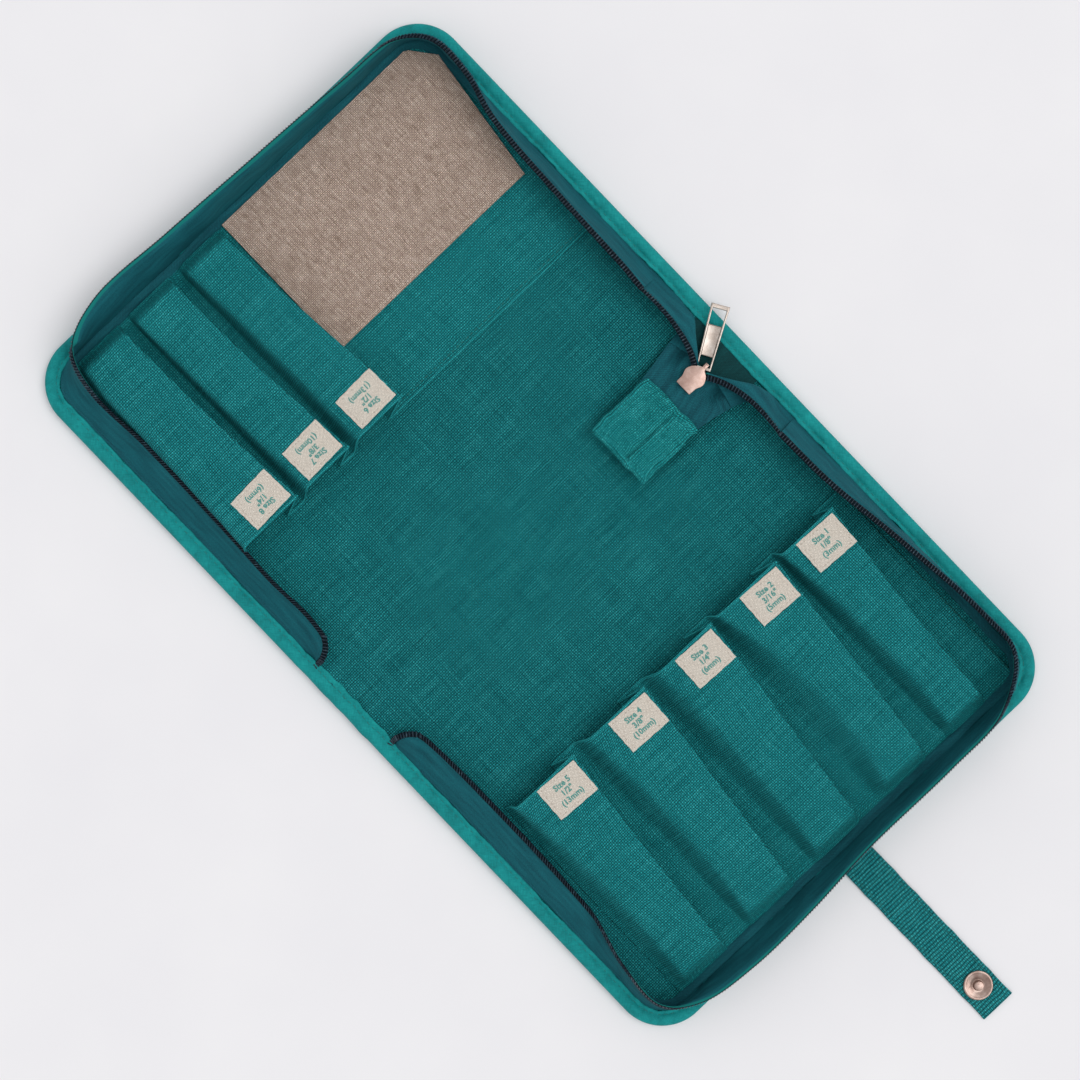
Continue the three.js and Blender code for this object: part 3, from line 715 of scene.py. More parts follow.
# From the wall's end to the slider: the coil's edge, the line where the tape folds over, and its lower edge
FRONT_BRIDGE = [
    [(-41, 96.2, 19.3), (-41, 101.6, 12.4), (-41, 106.9, 5.1)],
    [(-33, 96.7, 18.3), (-33.2, 102.0, 12.0), (-33.5, 106.9, 5.1)],
    [(-25.5, 96.5, 16.9), (-25.8, 102.2, 12.2), (-26, 106.8, 5.1)],
    [(-18, 95.5, 15.6), (-18.3, 105.0, 9.4), (-20.5, 102.5, 5.7)],
    [(-12, 94.2, 14.5), (-12.6, 100.9, 11.8), (-19.0, 98.2, 7.4)],
    [(-7.6, 92.8, 13.5), (-8.4, 97.2, 12.9), (-18.2, 95.6, 8.8)],
    [(-3.6, 90.8, 12.5), (-4.6, 93.6, 12.5), (-17.4, 91.0, 10.0)],
]
BACK_BRIDGE = [
    [(41, 96.2, 19.3), (41, 101.6, 12.4), (41, 106.9, 5.1)],
    [(34, 97.0, 18.4), (34.4, 102.2, 12.2), (35, 106.9, 5.1)],
    [(27, 97.2, 17.2), (27.4, 105.2, 11.0), (29.5, 106.0, 5.2)],
    [(20, 96.6, 16.0), (20.2, 104.2, 11.6), (25.5, 101.5, 6.0)],
    [(13, 95.0, 14.7), (12.6, 99.0, 13.4), (22.6, 98.0, 7.8)],
    [(8, 93.2, 13.7), (8.2, 95.9, 13.3), (21.4, 95.4, 9.0)],
    [(3.8, 91.0, 12.5), (4.4, 93.6, 12.5), (19.4, 91.0, 10.2)],
]
TAPE_ROWS = np.linspace(0, 1, 11)
TAPE_BOW = 0.5
TAPE_CALM = 8  # points at each end of a tape where its wave dies away
COIL_PITCH = 1.35
TOOTH_RADIUS, TOOTH_LENGTH = 0.4, 2.5
CORE_SECTION = ((2.1, 0.2), (1.9, 0.36), (0.9, 0.42), (0.0, 0.36), (-0.2, 0.1))  # down the tape, off its face


def wall_edges(side, top, count=300):
    """Foot and top edge of a standing wall."""
    start, _ = round_edge(side, np.linspace(0, EDGE_LENGTH, 2000), WALL_INSET)
    x = np.abs(start[:, 0])
    tucked, far = start[:, 1] < 0, start[:, 1] > 0
    kept = (~tucked | (x >= WALL_START_X)) & (~far | (x >= WALL_END_X))
    foot_line = start[kept]
    run = run_along(foot_line)
    share = np.linspace(0, 1, count)
    foot = looked_up(share * run[-1], run, foot_line)
    edge = smooth_route([[side * x, y, 0] for x, y in top], count)
    flat = edge - foot
    reach = np.linalg.norm(flat, axis=1)
    slant = np.maximum(TUCK_HEIGHT + (WALL - TUCK_HEIGHT) * share * run[-1] / TUCK, reach / 0.9)
    slant = np.minimum(WALL, slant)
    across = np.minimum(reach, slant * 0.94)
    away = unit(flat)
    lean = away * across[:, None]
    dive = ease(share * run[-1], 0.0, 6.0)
    lean[:, 2] = np.sqrt(slant**2 - across**2) * dive
    foot[:, 2] = WALL_BASE - 0.5 * (1 - dive)
    return foot, foot + lean, away


def tape_surface(foot, edge, seed):
    """Rows of points up a tape, between its foot and its top edge, bowed with a soft wave along it."""
    run = run_along(edge)
    heading = unit(np.gradient(edge, axis=0))
    out = unit(np.cross(heading, edge - foot))
    t = TAPE_ROWS[None, :, None]
    points = foot[:, None, :] * (1 - t) + edge[:, None, :] * t
    place, last = np.arange(len(run)), len(run) - 1
    calm = ease(place, 0, TAPE_CALM) * (1 - ease(place, last - TAPE_CALM, last))
    wave = (0.45 * wander(run, 44.0, seed) + 0.2 * wander(run, 15.0, seed + 1)) * calm
    bow = np.sin(np.pi * t[..., 0]) * (TAPE_BOW + wave[:, None])
    return points + out[:, None, :] * bow[..., None]


def coil(name, edge, up, out, start=0.0):
    """Teeth of the zip's coil along an edge, over a dark core. up runs up the tape, out is off its face."""
    run = run_along(edge)
    places = np.arange(start, run[-1], COIL_PITCH)
    at, heading = spaced(edge, places)
    rise = unit(looked_up(places, run, up))
    face = unit(np.cross(heading, rise))
    face *= np.sign((face * looked_up(places, run, out)).sum())
    deselect()
    bpy.ops.mesh.primitive_cylinder_add(
        vertices=6, radius=TOOTH_RADIUS * MM, depth=TOOTH_LENGTH * MM, rotation=(np.pi / 2, 0, 0))
    model = made(name + "_tooth")
    bpy.ops.object.mode_set(mode="EDIT")
    bpy.ops.mesh.select_all(action="SELECT")
    bpy.ops.transform.resize(value=(0.9, 1, 1.5))
    bpy.ops.mesh.bevel(offset=0.2 * MM, segments=1, affect="EDGES")
    bpy.ops.object.mode_set(mode="OBJECT")
    axes = np.stack([heading, rise, face], 1)
    teeth = copies(name, model, at - rise * 0.75 + face * 0.7, axes, COIL)
    line = np.linspace(0, run[-1], max(8, int(run[-1] / 2.2)))
    along = looked_up(line, run, edge)
    lift = unit(looked_up(line, run, up))
    off = unit(looked_up(line, run, out))
    rows = [along - lift * down + off * high for down, high in CORE_SECTION]
    core = cloth(name + "_core", np.stack(rows, 1), CORE, 0.3)
    return joined(name, [teeth, core])


def zip_wall(side, top):
    foot, edge, away = wall_edges(side, top)
    up = unit(unit(edge - foot) + 1.7 * away)
    points = tape_surface(foot, edge - 2.7 * up, 60 + side)
    points = np.concatenate([points, (edge - 1.3 * up)[:, None], edge[:, None]], axis=1)
    out = unit(np.cross(np.gradient(edge, axis=0), up))
    face = out * np.sign(out[:, 2].sum())
    piece = cloth(f"{WORD[side]}_zip_wall", points, TAPE, 0.5)
    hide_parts(f"{WORD[side]}_zip_tape")
    len_of(foot) * MM
    cross_fold(piece)
    teeth = coil(f"{WORD[side]}_coil_teeth", edge, up, face)
    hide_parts(f"{WORD[side]}_zip_coil")
    cross_fold(teeth)


def zip_bridge(side, stations):
    """The loose end of the tape, from where it leaves the binding to the slider, folding over as it goes."""
    count = 61
    edge, fold, low = (smooth_route([s[k] for s in stations], count)[:, None] for k in range(3))
    t = TAPE_ROWS[None, :, None]
    through = 2 * fold - (edge + low) / 2
    points = edge * (1 - t) ** 2 + 2 * through * t * (1 - t) + low * t**2
    points = points[:, ::-1]
    wave = ripple(points[..., 0], points[..., 1], 15.0, 80 + side) * np.sin(np.pi * TAPE_ROWS)
    points[..., 2] += 0.35 * wave
    edge = edge[:, 0]
    up = unit(edge - points[:, -3])
    out = unit(np.cross(np.gradient(edge, axis=0), up))
    face = out * np.sign(out[:, 2].sum())
    piece = cloth(f"{WORD[side]}_zip_bridge", points, TAPE, 0.5)
    long = 0.5 * (len_of(points[:, 0]) + len_of(edge)) * MM
    cover, slider = (side * 0.036, 0.104, 0), (side * 0.014, 0.093, 0)
    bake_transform(piece)
    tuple(cover)
    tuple(slider)
    teeth = coil(f"{WORD[side]}_bridge_teeth", edge, up, face)
    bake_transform(teeth)
    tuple(cover)
    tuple(slider)


def seam_facing(side):
    """A folded strip over the raw seam at the foot of the wall, inside."""
    distance = np.linspace(40, EDGE_LENGTH - 40, 300)
    inset = np.array([7.3, 7.9, 8.6, 9.4, 10.2, 10.8, 11.0, 10.8])
    height = np.array([5.9, 6.0, 5.8, 5.7, 5.6, 5.4, 5.2, 5.0])
    s, w = np.meshgrid(distance, inset, indexing="ij")
    z = height + 0.15 * wander(s, 33.0, 90 + side)
    w = w + 0.25 * wander(s, 52.0, 92 + side)
    points, _ = round_edge(side, s, w)
    points[..., 2] = z
    piece = cloth(f"{WORD[side]}_foot_facing", points, TAIL, 0.4)
    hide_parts(f"{WORD[side]}_seam_facing")
    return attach(piece, COVER[side])


# ---- Pleated needle tubes ----
def rounded_line(corners, radii, straight=3, bend=5):
    """A line through corners in a plane, each rounded off by its own radius, always with as many points."""
    corners = np.asarray(corners, float)
    points = [corners[0]]
    for i in range(1, len(corners)):
        previous, here = points[-1], corners[i]
        if i == len(corners) - 1:
            points += [previous + (here - previous) * k / (straight + 1) for k in range(1, straight + 2)]
            break
        back, ahead = corners[i - 1] - here, corners[i + 1] - here
        reach = min(radii[i], 0.48 * np.linalg.norm(back), 0.48 * np.linalg.norm(ahead))
        first, last = here + unit(back) * reach, here + unit(ahead) * reach
        points += [previous + (first - previous) * k / (straight + 1) for k in range(1, straight + 1)]
        for k in np.linspace(0, 1, bend):
            points.append(first * (1 - k) ** 2 + 2 * here * k * (1 - k) + last * k**2)
    return np.array(points)


FLOOR_Z = 5.15  # middle of the pocket canvas where it lies on the lining
RISE = 11.8


def bent(values, share):
    """A value at the mouth, the middle and the closed end, joined by a curve."""
    mouth, middle, end = values
    curve = mouth * (1 - share) * (1 - 2 * share) + 4 * middle * share * (1 - share)
    return curve + end * share * (2 * share - 1)


def pleated_row(name, side, first_y, tubes, last_seam, mouth_x, nodes, seed):
    """One strip of canvas, pleated and sewn down into tubes, from first_y down to last_seam.

    Each tube has its fold line at mouth, middle and closed end, the pleat's tip at the mouth, its shoulder at
    mouth, middle and end, measured above the next seam, and then that seam.
    """
    steps = [np.linspace(0, 0.03, 4)[:-1], np.linspace(0.03, 0.86, 40)[:-1], np.linspace(0.86, 1, 16)]
    shares = np.concatenate(steps)
    rows = []
    for share in shares:
        drop = ease(share, 0.935, 1.0)
        rise = RISE * (1 - 0.06 * share) * (1 - drop) + 0.9 * drop
        corners, radii = [(first_y, FLOOR_Z)], [0]
        for fold, tip, shoulder, seam in tubes:
            ridge = bent(fold, share)
            gusset = np.hypot(fold[0] - tip, RISE)
            tip_y = ridge - np.sqrt(max(gusset**2 - rise**2, 1))
            edge = seam + bent(shoulder, share)
            low = FLOOR_Z + 0.75
            corners += [(tip_y, FLOOR_Z + 0.1), (tip_y + 0.1, low + 0.2 * drop)]
            corners += [(ridge, low + rise - 0.4 + 0.5 * drop)]
            crown = low + rise + 0.5 * drop
            corners += [((ridge + edge) / 2, crown + 0.35), (edge, crown - 0.9 * (1 - drop) - 0.3)]
            corners += [(seam + (edge - seam) * 0.27, FLOOR_Z + 0.45 + 0.14 * rise), (seam, FLOOR_Z)]
            radii += [0.5, 0.5, 0.8, 9.0, 2.2, 4.0, 1.5]
        corners[-1] = (last_seam, FLOOR_Z - 0.2)
        line = rounded_line(corners, radii)
        x = side * (mouth_x + share * (POCKET_FAR_X - mouth_x))
        high = np.clip((line[:, 1] - FLOOR_Z) / RISE, 0, 1)
        x = x + side * (1 - ease(share, 0, 0.5)) * (2.5 * high - 0.3)
        rows.append(np.stack([np.broadcast_to(x, len(line)), line[:, 0], line[:, 1]], 1))
    points = np.array(rows)
    raised = ease(points[..., 2], FLOOR_Z + 3, FLOOR_Z + 9)
    points[..., 2] += raised * 0.3 * ripple(points[..., 0], points[..., 1], 24.0, seed)
    points[..., 2] += 0.06 * ripple(points[..., 0], points[..., 1], 8.0, seed + 1)
    hem = np.exp(-((shares / 0.012) ** 2))[:, None]
    points[..., 2] += 0.25 * hem
    across = lengths_along(points, 1)
    # The pocket strip wears the lighter canvas: painted light.
    piece = cloth(name, points, LIT_POCKET_CANVAS, 0.6, 0.0, [np.abs(points[..., 0]), across], 75.0)
    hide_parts(*nodes)
    # The hem roll gets the lighter canvas: painted highlight.
    bead = hem_bead(f"{WORD[side]}_pocket_hem", points[0] + [side * 0.2, 0, 0.2], HEM_HIGHLIGHT)
    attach(bead, COVER[side])
    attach(piece, COVER[side])
    return piece


BACK_TUBES = [
    ((91.8, 86.4, 82.8), 84.9, (2.0, 6.3, 3.3), 61.5),
    ((59.9, 55.3, 48.9), 49.3, (3.5, 12.3, 5.0), 23.4),
    ((22.9, 17.5, 11.0), 11.0, (8.0, 9.0, 3.5), -14.7),
    ((-14.9, -20.5, -26.8), -27.3, (6.5, 8.5, 3.3), -52.8),
    ((-55.4, -60.7, -65.1), -65.5, (3.5, 7.5, 4.8), -90.9),
]
FRONT_TUBES = [
    ((-4.3, -9.3, -12.2), -14.7, (5.8, 5.0, 1.8), -35.5),
    ((-34.7, -39.0, -40.6), -42.8, (5.5, 3.4, 1.6), -64.2),
    ((-64.0, -67.7, -69.1), -72.8, (2.6, 4.6, 5.2), -97.0),
]


def hem_bead(name, route, finish, radius=0.6):
    """The turned-over edge of a pocket's mouth, as a soft roll along its edge."""
    heading = unit(np.gradient(route, axis=0))
    side = np.array([1.0, 0, 0])
    up = unit(np.cross(heading, side))
    turn = np.linspace(0, 2 * np.pi, 9)[None, :, None]
    size = np.full(len(route), radius)
    size[[0, -1]] = 0.02
    roll = np.cos(turn) * side + np.sin(turn) * up[:, None]
    return face_out(cloth(name, route[:, None] + roll * size[:, None, None], finish, 0.0))


def surface_below(piece):
    """A function that drops points in mm straight down onto a piece."""
    tree = BVHTree.FromObject(piece, bpy.context.evaluated_depsgraph_get())

    def drop(x, y, otherwise):
        hit = tree.ray_cast(Vector((x * MM, y * MM, 0.06)), Vector((0, 0, -1)))[0]
        return hit.z / MM if hit else otherwise

    return drop


LABEL_LONG, LABEL_WIDE = 15.6, 19.8
SIZES = ['1/8"', '3/16"', '1/4"', '3/8"', '1/2"', '1/2"', '3/8"', '1/4"']
METRIC = [3, 5, 6, 10, 13, 13, 10, 6]


def size_label(number, side, fold_y, drop, skew):
    """A woven label sewn on by its edges, with its size printed."""
    u, v = np.meshgrid(np.linspace(0, 1, 13), np.linspace(0, 1, 15))
    along, down = u * LABEL_LONG, v * LABEL_WIDE
    wavy = 0.16 * wander(down, 7.0, 200 + number) * (u - 0.5)
    x = side * (MOUTH_X + 1.5 + along + wavy - skew * down)
    y = fold_y - 1.7 - down - 0.12 * wander(along, 6.0, 220 + number) - skew * along * 0.8
    z = np.array([[drop(a, b, 16.5) for a, b in zip(p, q)] for p, q in zip(x, y)])
    fit = np.polyfit(down.ravel(), z.ravel(), 2)
    edge = np.minimum(np.minimum(u, 1 - u) * LABEL_LONG, np.minimum(v, 1 - v) * LABEL_WIDE)
    z = np.maximum(z, np.polyval(fit, down)) + 0.3 + 0.22 * ease(edge, 0.3, 2.2)
    points = np.stack([x, y, z], 2)
    name = f"size_{number}_label"
    piece = cloth(name, points, LABEL, 0.3, 0.0)
    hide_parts(f"size_label_{number}")
    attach(piece, COVER[side])
    ring = np.concatenate([points[1, 1:-1], points[1:-1, -2], points[-2, -2:0:-1], points[-2:0:-1, 1]])
    ring[:, 2] += 0.12
    sewn = stitches(f"size_{number}_label_stitches", ring, UP, CREAM_THREAD, 1.7, 1.2, 0.26, 0.0)
    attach(sewn, COVER[side])
    printed(number, side, points, surface_below(piece))


def printed(number, side, label, drop):
    """Three short printed lines, the first nearest the tube's mouth."""
    centre = label[label.shape[0] // 2, label.shape[1] // 2]
    heading = unit(label[label.shape[0] // 2, -1] - label[label.shape[0] // 2, 0])
    lines = [f"Size {number}", SIZES[number - 1], f"({METRIC[number - 1]}mm)"]
    parts = []
    for place, words in zip((-3.6, -0.1, 3.4), lines):
        deselect()
        bpy.ops.object.text_add()
        text = bpy.context.object
        text.data.body = words
        text.data.size = 3.5 * MM
        text.data.offset = 0.11 * MM
        text.data.align_x, text.data.align_y = "CENTER", "CENTER"
        text.data.extrude = 0.02 * MM
        text.data.resolution_u = 2
        bpy.ops.object.convert(target="MESH")
        text = bpy.context.object
        flat = coordinates(text.data) / MM
        reading = np.array([-heading[1], heading[0], 0.0])
        xyz = centre + flat[:, :1] * reading - flat[:, 1:2] * heading + heading * place
        height = np.array([drop(a, b, centre[2]) for a, b in xyz[:, :2]])
        xyz[:, 2] = height + 0.03 + flat[:, 2]
        text.data.vertices.foreach_set("co", (xyz * MM).astype(np.float32).ravel())
        parts.append(text)
    deselect()
    for part in parts:
        part.select_set(True)
    bpy.context.view_layer.objects.active = parts[0]
    bpy.ops.object.join()
    piece = bpy.context.object
    piece.name = piece.data.name = f"size_{number}_print"
    piece.data.materials.clear()
    piece.data.materials.append(INK)
    face_out(piece)
    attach(piece, COVER[side])


def back_pockets():
    nodes = [f"needle_pocket_{i}" for i in range(1, 6)]
    piece = pleated_row("back_pocket_canvas", 1, 99.6, BACK_TUBES, -92.0, 75.8, nodes, 101)
    pocket_sewing("back", 1, [99.2, 61.5, 23.4, -14.7, -52.8, -91.6], 76.6, 180.0)
    drop = surface_below(piece)
    for number, tube in enumerate(BACK_TUBES, 1):
        size_label(number, 1, tube[0][0], drop, 0.035 + 0.01 * (number % 3))


def front_pockets():
    nodes = ["slip_pocket"] + [f"needle_pocket_{i}" for i in range(6, 9)]
    piece = pleated_row("front_pocket_canvas", -1, 102.0, FRONT_TUBES, -98.0, 75.2, nodes, 111)
    pocket_sewing("front", -1, [-35.5, -64.2, -97.4], 76.6, 180.0)
    drop = surface_below(piece)
    for number, tube in enumerate(FRONT_TUBES, 6):
        size_label(number, -1, tube[0][0], drop, 0.03 + 0.01 * (number % 3))


def pocket_sewing(word, side, seams, x0, x1):
    """The rows of stitches that make the tubes."""
    x = np.linspace(x0, x1, 60) * side
    parts = []
    if side < 0:
        y = np.linspace(98, -9, 60)
        route = np.stack([np.full_like(y, side * (x0 + 0.6)), y, np.full_like(y, FLOOR_Z + 0.5)], 1)
        parts.append(stitches("slip_pocket_hem_stitches", route, UP, THREAD, 2.6, 1.9, 0.42, 0.0))
    for i, seam in enumerate(seams):
        route = np.stack([x, np.full_like(x, seam + 0.5), np.full_like(x, FLOOR_Z + 0.35)], 1)
        sewn = stitches(f"{word}_tube_seam_{i + 1}", route, UP, THREAD, 2.6, 1.8, 0.42, 0.0)
        parts.append(sewn)
    for sewn in parts:
        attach(sewn, COVER[side])


# ---- Flat linen pocket ----
def linen_pocket():
    """Natural linen, hemmed at its mouth and lower edge, with a corner cut off beside the wall."""
    low, high, far, mouth = -9.6, 104.4, 181.5, 109.9
    u, v = np.meshgrid(np.linspace(0, 1, 41), np.linspace(0, 1, 61))
    reach = far - 11.0 * np.clip((v - 0.925) / 0.075, 0, 1)
    x = mouth + (reach - mouth) * u
    top = high - 8.2 * (1 - u)
    y = low + (top - low) * v
    edge = np.minimum(np.minimum(x - mouth, reach - x), np.minimum(y - low, top - y))
    z = FLOOR_Z + 0.75 + 1.1 * ease(edge, 0.0, 28.0) + 0.18 * ripple(x, y, 30.0, 121) * ease(edge, 1, 8)
    hem = np.maximum(1 - ease(x - mouth, 4.2, 4.9), 1 - ease(y - low, 3.4, 4.1))
    z += 0.42 * hem + 0.05 * ripple(x, y, 7.0, 123)
    points = np.stack([-x, y, z], 2)
    flat = [x, y - low]
    piece = cloth("linen_flat_pocket", points, LINEN, 0.55, 0.0, flat)
    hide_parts("linen_pocket")
    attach(piece, FRONT)
    drop = surface_below(piece)
    corner = (-mouth - 1.5, low + 1.3)
    hems = [((-mouth - 1.5, 94), corner), (corner, (-far + 1, low + 1.3))]
    for i, (start, end) in enumerate(hems):
        t = np.linspace(0, 1, 60)[:, None]
        xy = np.array(start) * (1 - t) + np.array(end) * t
        route = np.column_stack([xy, [drop(a, b, 6.5) for a, b in xy]])
        sewn = stitches(f"linen_hem_stitches_{i + 1}", route, UP, CREAM_THREAD, 2.6, 1.9, 0.36, 0.0)
        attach(sewn, FRONT)


# ---- Zip tail, tab, slider and pull ----
TAB = (-13.2, 16.6, 42.8, 73.8)


def tail_ridge(x, y):
    """The closed coil lying under the tail, and the dips either side of it."""
    ridge = 0.75 * np.exp(-(((x - 1.3) / 2.9) ** 6)) - 0.5 * np.exp(-(((x - 5.2) / 0.9) ** 2))
    dips = 4.4 * np.exp(-(((x + 10.5) / 2.4) ** 2) - ((y - 90.5) / 5.0) ** 2)
    dips += 4.6 * np.exp(-(((x - 11.0) / 2.5) ** 2) - ((y - 90.5) / 4.6) ** 2)
    return ridge - dips - 0.5 * np.exp(-(((x + 4.6) / 1.8) ** 2))


def tail_tapes():
    """The two tapes joined below the slider, with the coil's ridge between them."""
    count = 50
    left = [(-18.2, 96.0, 8.6), (-17.2, 89.0, 10.0), (-15.4, 79.0, 11.2),
            (-13.9, 68.0, 11.4), (-13.2, 46.0, 11.2)]
    right = [(21.2, 96.2, 8.6), (19.2, 88.0, 10.0), (17.2, 79.0, 11.2),
             (16.2, 68.0, 11.4), (16.4, 46.0, 11.2)]
    middle = [(0.0, 91.5, 12.4), (0.0, 80.0, 12.3), (0.0, 46.0, 12.2)]
    left, middle, right = (smooth_route(line, count)[:, None] for line in (left, middle, right))
    t = np.linspace(0, 1, 17)[None, :, None]
    points = np.concatenate([left * (1 - t) + middle * t, (middle * (1 - t) + right * t)[:, 1:]], axis=1)
    x, y = points[..., 0], points[..., 1]
    hold = ease(np.minimum(x - left[..., 0], right[..., 0] - x), 0.0, 3.0)
    points[..., 2] += hold * (tail_ridge(x, y) + 0.3 * ripple(x, y, 13.0, 131))
    piece = cloth("zip_tail", points, TAIL, 0.5)
    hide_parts("zip_tail_tape_left", "zip_tail_tape_right")
    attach(piece, SPINE)
    y = np.linspace(82.4, 46, 60)
    for side, word in ((-1, "left"), (1, "right")):
        line = np.stack([np.full_like(y, side * 0.3), y, np.full_like(y, 11.9)], 1)
        ones = np.ones_like(line)
        up, out = ones * [-side, 0, 0], ones * [0, 0, -1]
        teeth = coil(f"zip_tail_teeth_{word}", line, up, out, 0.34 * (side + 1))
        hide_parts(f"zip_tail_coil_{word}")
        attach(teeth, SPINE)


def spine_end_shadow_strip():
    """A strip over the raw seam at the slider's end of the spine, darker than the tapes: mostly painted
    shadow, a dark sheet standing for the lining in shade there.
    """
    u, v = np.meshgrid(np.linspace(0, 1, 31), np.linspace(0, 1, 13))
    x, y = -17.5 + 36.5 * u, 107.0 - 13.0 * v
    z = 4.95 + 0.3 * np.sin(np.pi * v) + 0.2 * ripple(x, y, 11.0, 171) + 0.12
    piece = cloth("spine_end_painted_shadow", np.stack([x, y, z], 2), SPINE_END_SHADOW, 0.4)
    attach(piece, SPINE)


def end_tab():
    """A patch of outer canvas folded over the end of the tail and topstitched."""
    x0, x1, y0, y1 = TAB
    u, v = np.meshgrid(np.linspace(0, 1, 41), np.linspace(0, 1, 43))
    x, y = x0 + (x1 - x0) * u, y1 + (y0 - y1) * v
    x = x + 0.25 * wander(y, 17.0, 141) + 0.6 * (0.5 - u) * np.exp(-(((y - y1) / 9) ** 2))
    y = y + 0.3 * wander(x, 15.0, 143)
    edge = np.minimum(np.minimum(u, 1 - u) * (x1 - x0), np.minimum(v, 1 - v) * (y1 - y0))
    z = 12.3 + 0.9 * ease(edge, 0.0, 1.2) - 0.42 * np.exp(-(((edge - 2.2) / 0.7) ** 2))
    z += 0.7 * np.exp(-(((x - 0.4) / 2.8) ** 4)) + 0.3 * np.exp(-(((x - 7.5) / 1.8) ** 2))
    dips = 1.3 * np.exp(-(((x - 4.9) / 1.0) ** 2)) + 0.4 * np.exp(-(((x + 4.2) / 1.6) ** 2))
    z -= dips * ease(edge, 0.3, 3)
    z += 0.2 * ripple(x, y, 13.0, 145) * ease(edge, 0.5, 4)
    points = np.stack([x, y, z], 2)
    piece = cloth("zip_end_patch", points, PATCH, 1.1, -1.0)
    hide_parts("zip_end_tab")
    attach(piece, SPINE)
    ring = np.concatenate([points[3, 3:-3], points[3:-3, -4], points[-4, -4:2:-1], points[-4:2:-1, 3]])
    ring[:, 2] += 0.08
    sewn = stitches("zip_end_patch_stitches", ring, UP, THREAD, 2.6, 1.9, 0.42, 0.0)
    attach(sewn, SPINE)


def stamped(name, outline, bottom, thick, finish, soften=0.25):
    """A metal blank cut to an outline, with softened edges. Points run round it."""
    deselect()
    bpy.ops.mesh.primitive_circle_add(vertices=len(outline), radius=MM, fill_type="NGON")
    piece = made(name, finish)
    flat = np.array([(x * MM, y * MM, bottom * MM) for x, y in outline], np.float32)
    piece.data.vertices.foreach_set("co", flat.ravel())
    bpy.ops.object.mode_set(mode="EDIT")
    bpy.ops.mesh.select_all(action="SELECT")
    bpy.ops.mesh.extrude_region_move(TRANSFORM_OT_translate={"value": (0, 0, thick * MM)})
    bpy.ops.object.mode_set(mode="OBJECT")
    face_out(piece)
    return bevelled(piece, soften)


def joined(name, parts):
    deselect()
    for part in parts:
        part.select_set(True)
    bpy.context.view_layer.objects.active = parts[0]
    bpy.ops.object.join()
    piece = bpy.context.object
    piece.name = piece.data.name = name
    return smooth(piece, 35)


def block(name, centre, size, finish, soften=0.15):
    deselect()
    bpy.ops.mesh.primitive_cube_add(size=1, location=[c * MM for c in centre], scale=[s * MM for s in size])
    piece = made(name, finish)
    return bevelled(piece, soften, 2)


SLIDER_Y = 87.0


def slider():
    """Two shield-shaped plates on a wedge, their sides turned in, with a bail under the nose."""
    back, front = SLIDER_Y - 5.5, SLIDER_Y + 5.5
    right = [(3.65, back), (3.85, back + 0.2), (3.95, back + 3.4), (4.2, back + 4.2), (4.85, back + 5.7),
             (5.0, back + 6.7), (4.75, back + 7.8), (4.1, back + 9.1), (3.1, back + 10.2), (2.0, back + 10.9),
             (1.2, back + 11.3), (0.8, back + 12.0), (0.4, back + 12.2)]
    outline = right + [(-x, y) for x, y in reversed(right)]
    top = stamped("slider_top", outline, ZIP_Z + 1.6, 1.15, ROSE_NICKEL, 0.34)
    low = stamped("slider_low", outline, ZIP_Z - 2.6, 1.0, ROSE_NICKEL, 0.3)
    parts = [top, low, block("slider_wedge", (0, SLIDER_Y + 3.9, ZIP_Z), (1.4, 2.6, 4.0), ROSE_NICKEL)]
    for side in (-1, 1):
        inner, outer = side * 3.2, side * 3.8
        lip = [(outer, back + 0.6), (inner, back + 0.6), (inner, back + 4.0), (outer, back + 4.0)]
        parts.append(stamped("slider_lip", lip, ZIP_Z + 0.7, 1.4, ROSE_NICKEL, 0.12))
        parts.append(stamped("slider_lip", lip, ZIP_Z - 2.1, 1.4, ROSE_NICKEL, 0.12))
    under = ZIP_Z - 2.6
    parts.append(block("bail_front", (0, front + 3.4, under - 1.4), (1.8, 0.8, 4.0), ROSE_NICKEL, 0.25))
    parts.append(block("bail_arm", (0, SLIDER_Y + 3.7, under - 3.0), (1.8, 11.2, 0.8), ROSE_NICKEL, 0.25))
    parts.append(block("bail_back", (0, SLIDER_Y - 1.5, under - 1.4), (1.8, 0.8, 3.4), ROSE_NICKEL, 0.25))
    parts.append(block("bail_bridge", (0, front + 1.6, under + 0.2), (1.8, 4.2, 0.8), ROSE_NICKEL, 0.25))
    piece = joined("zip_slider_body", parts)
    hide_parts("zip_slider")
    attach(piece, "slider")


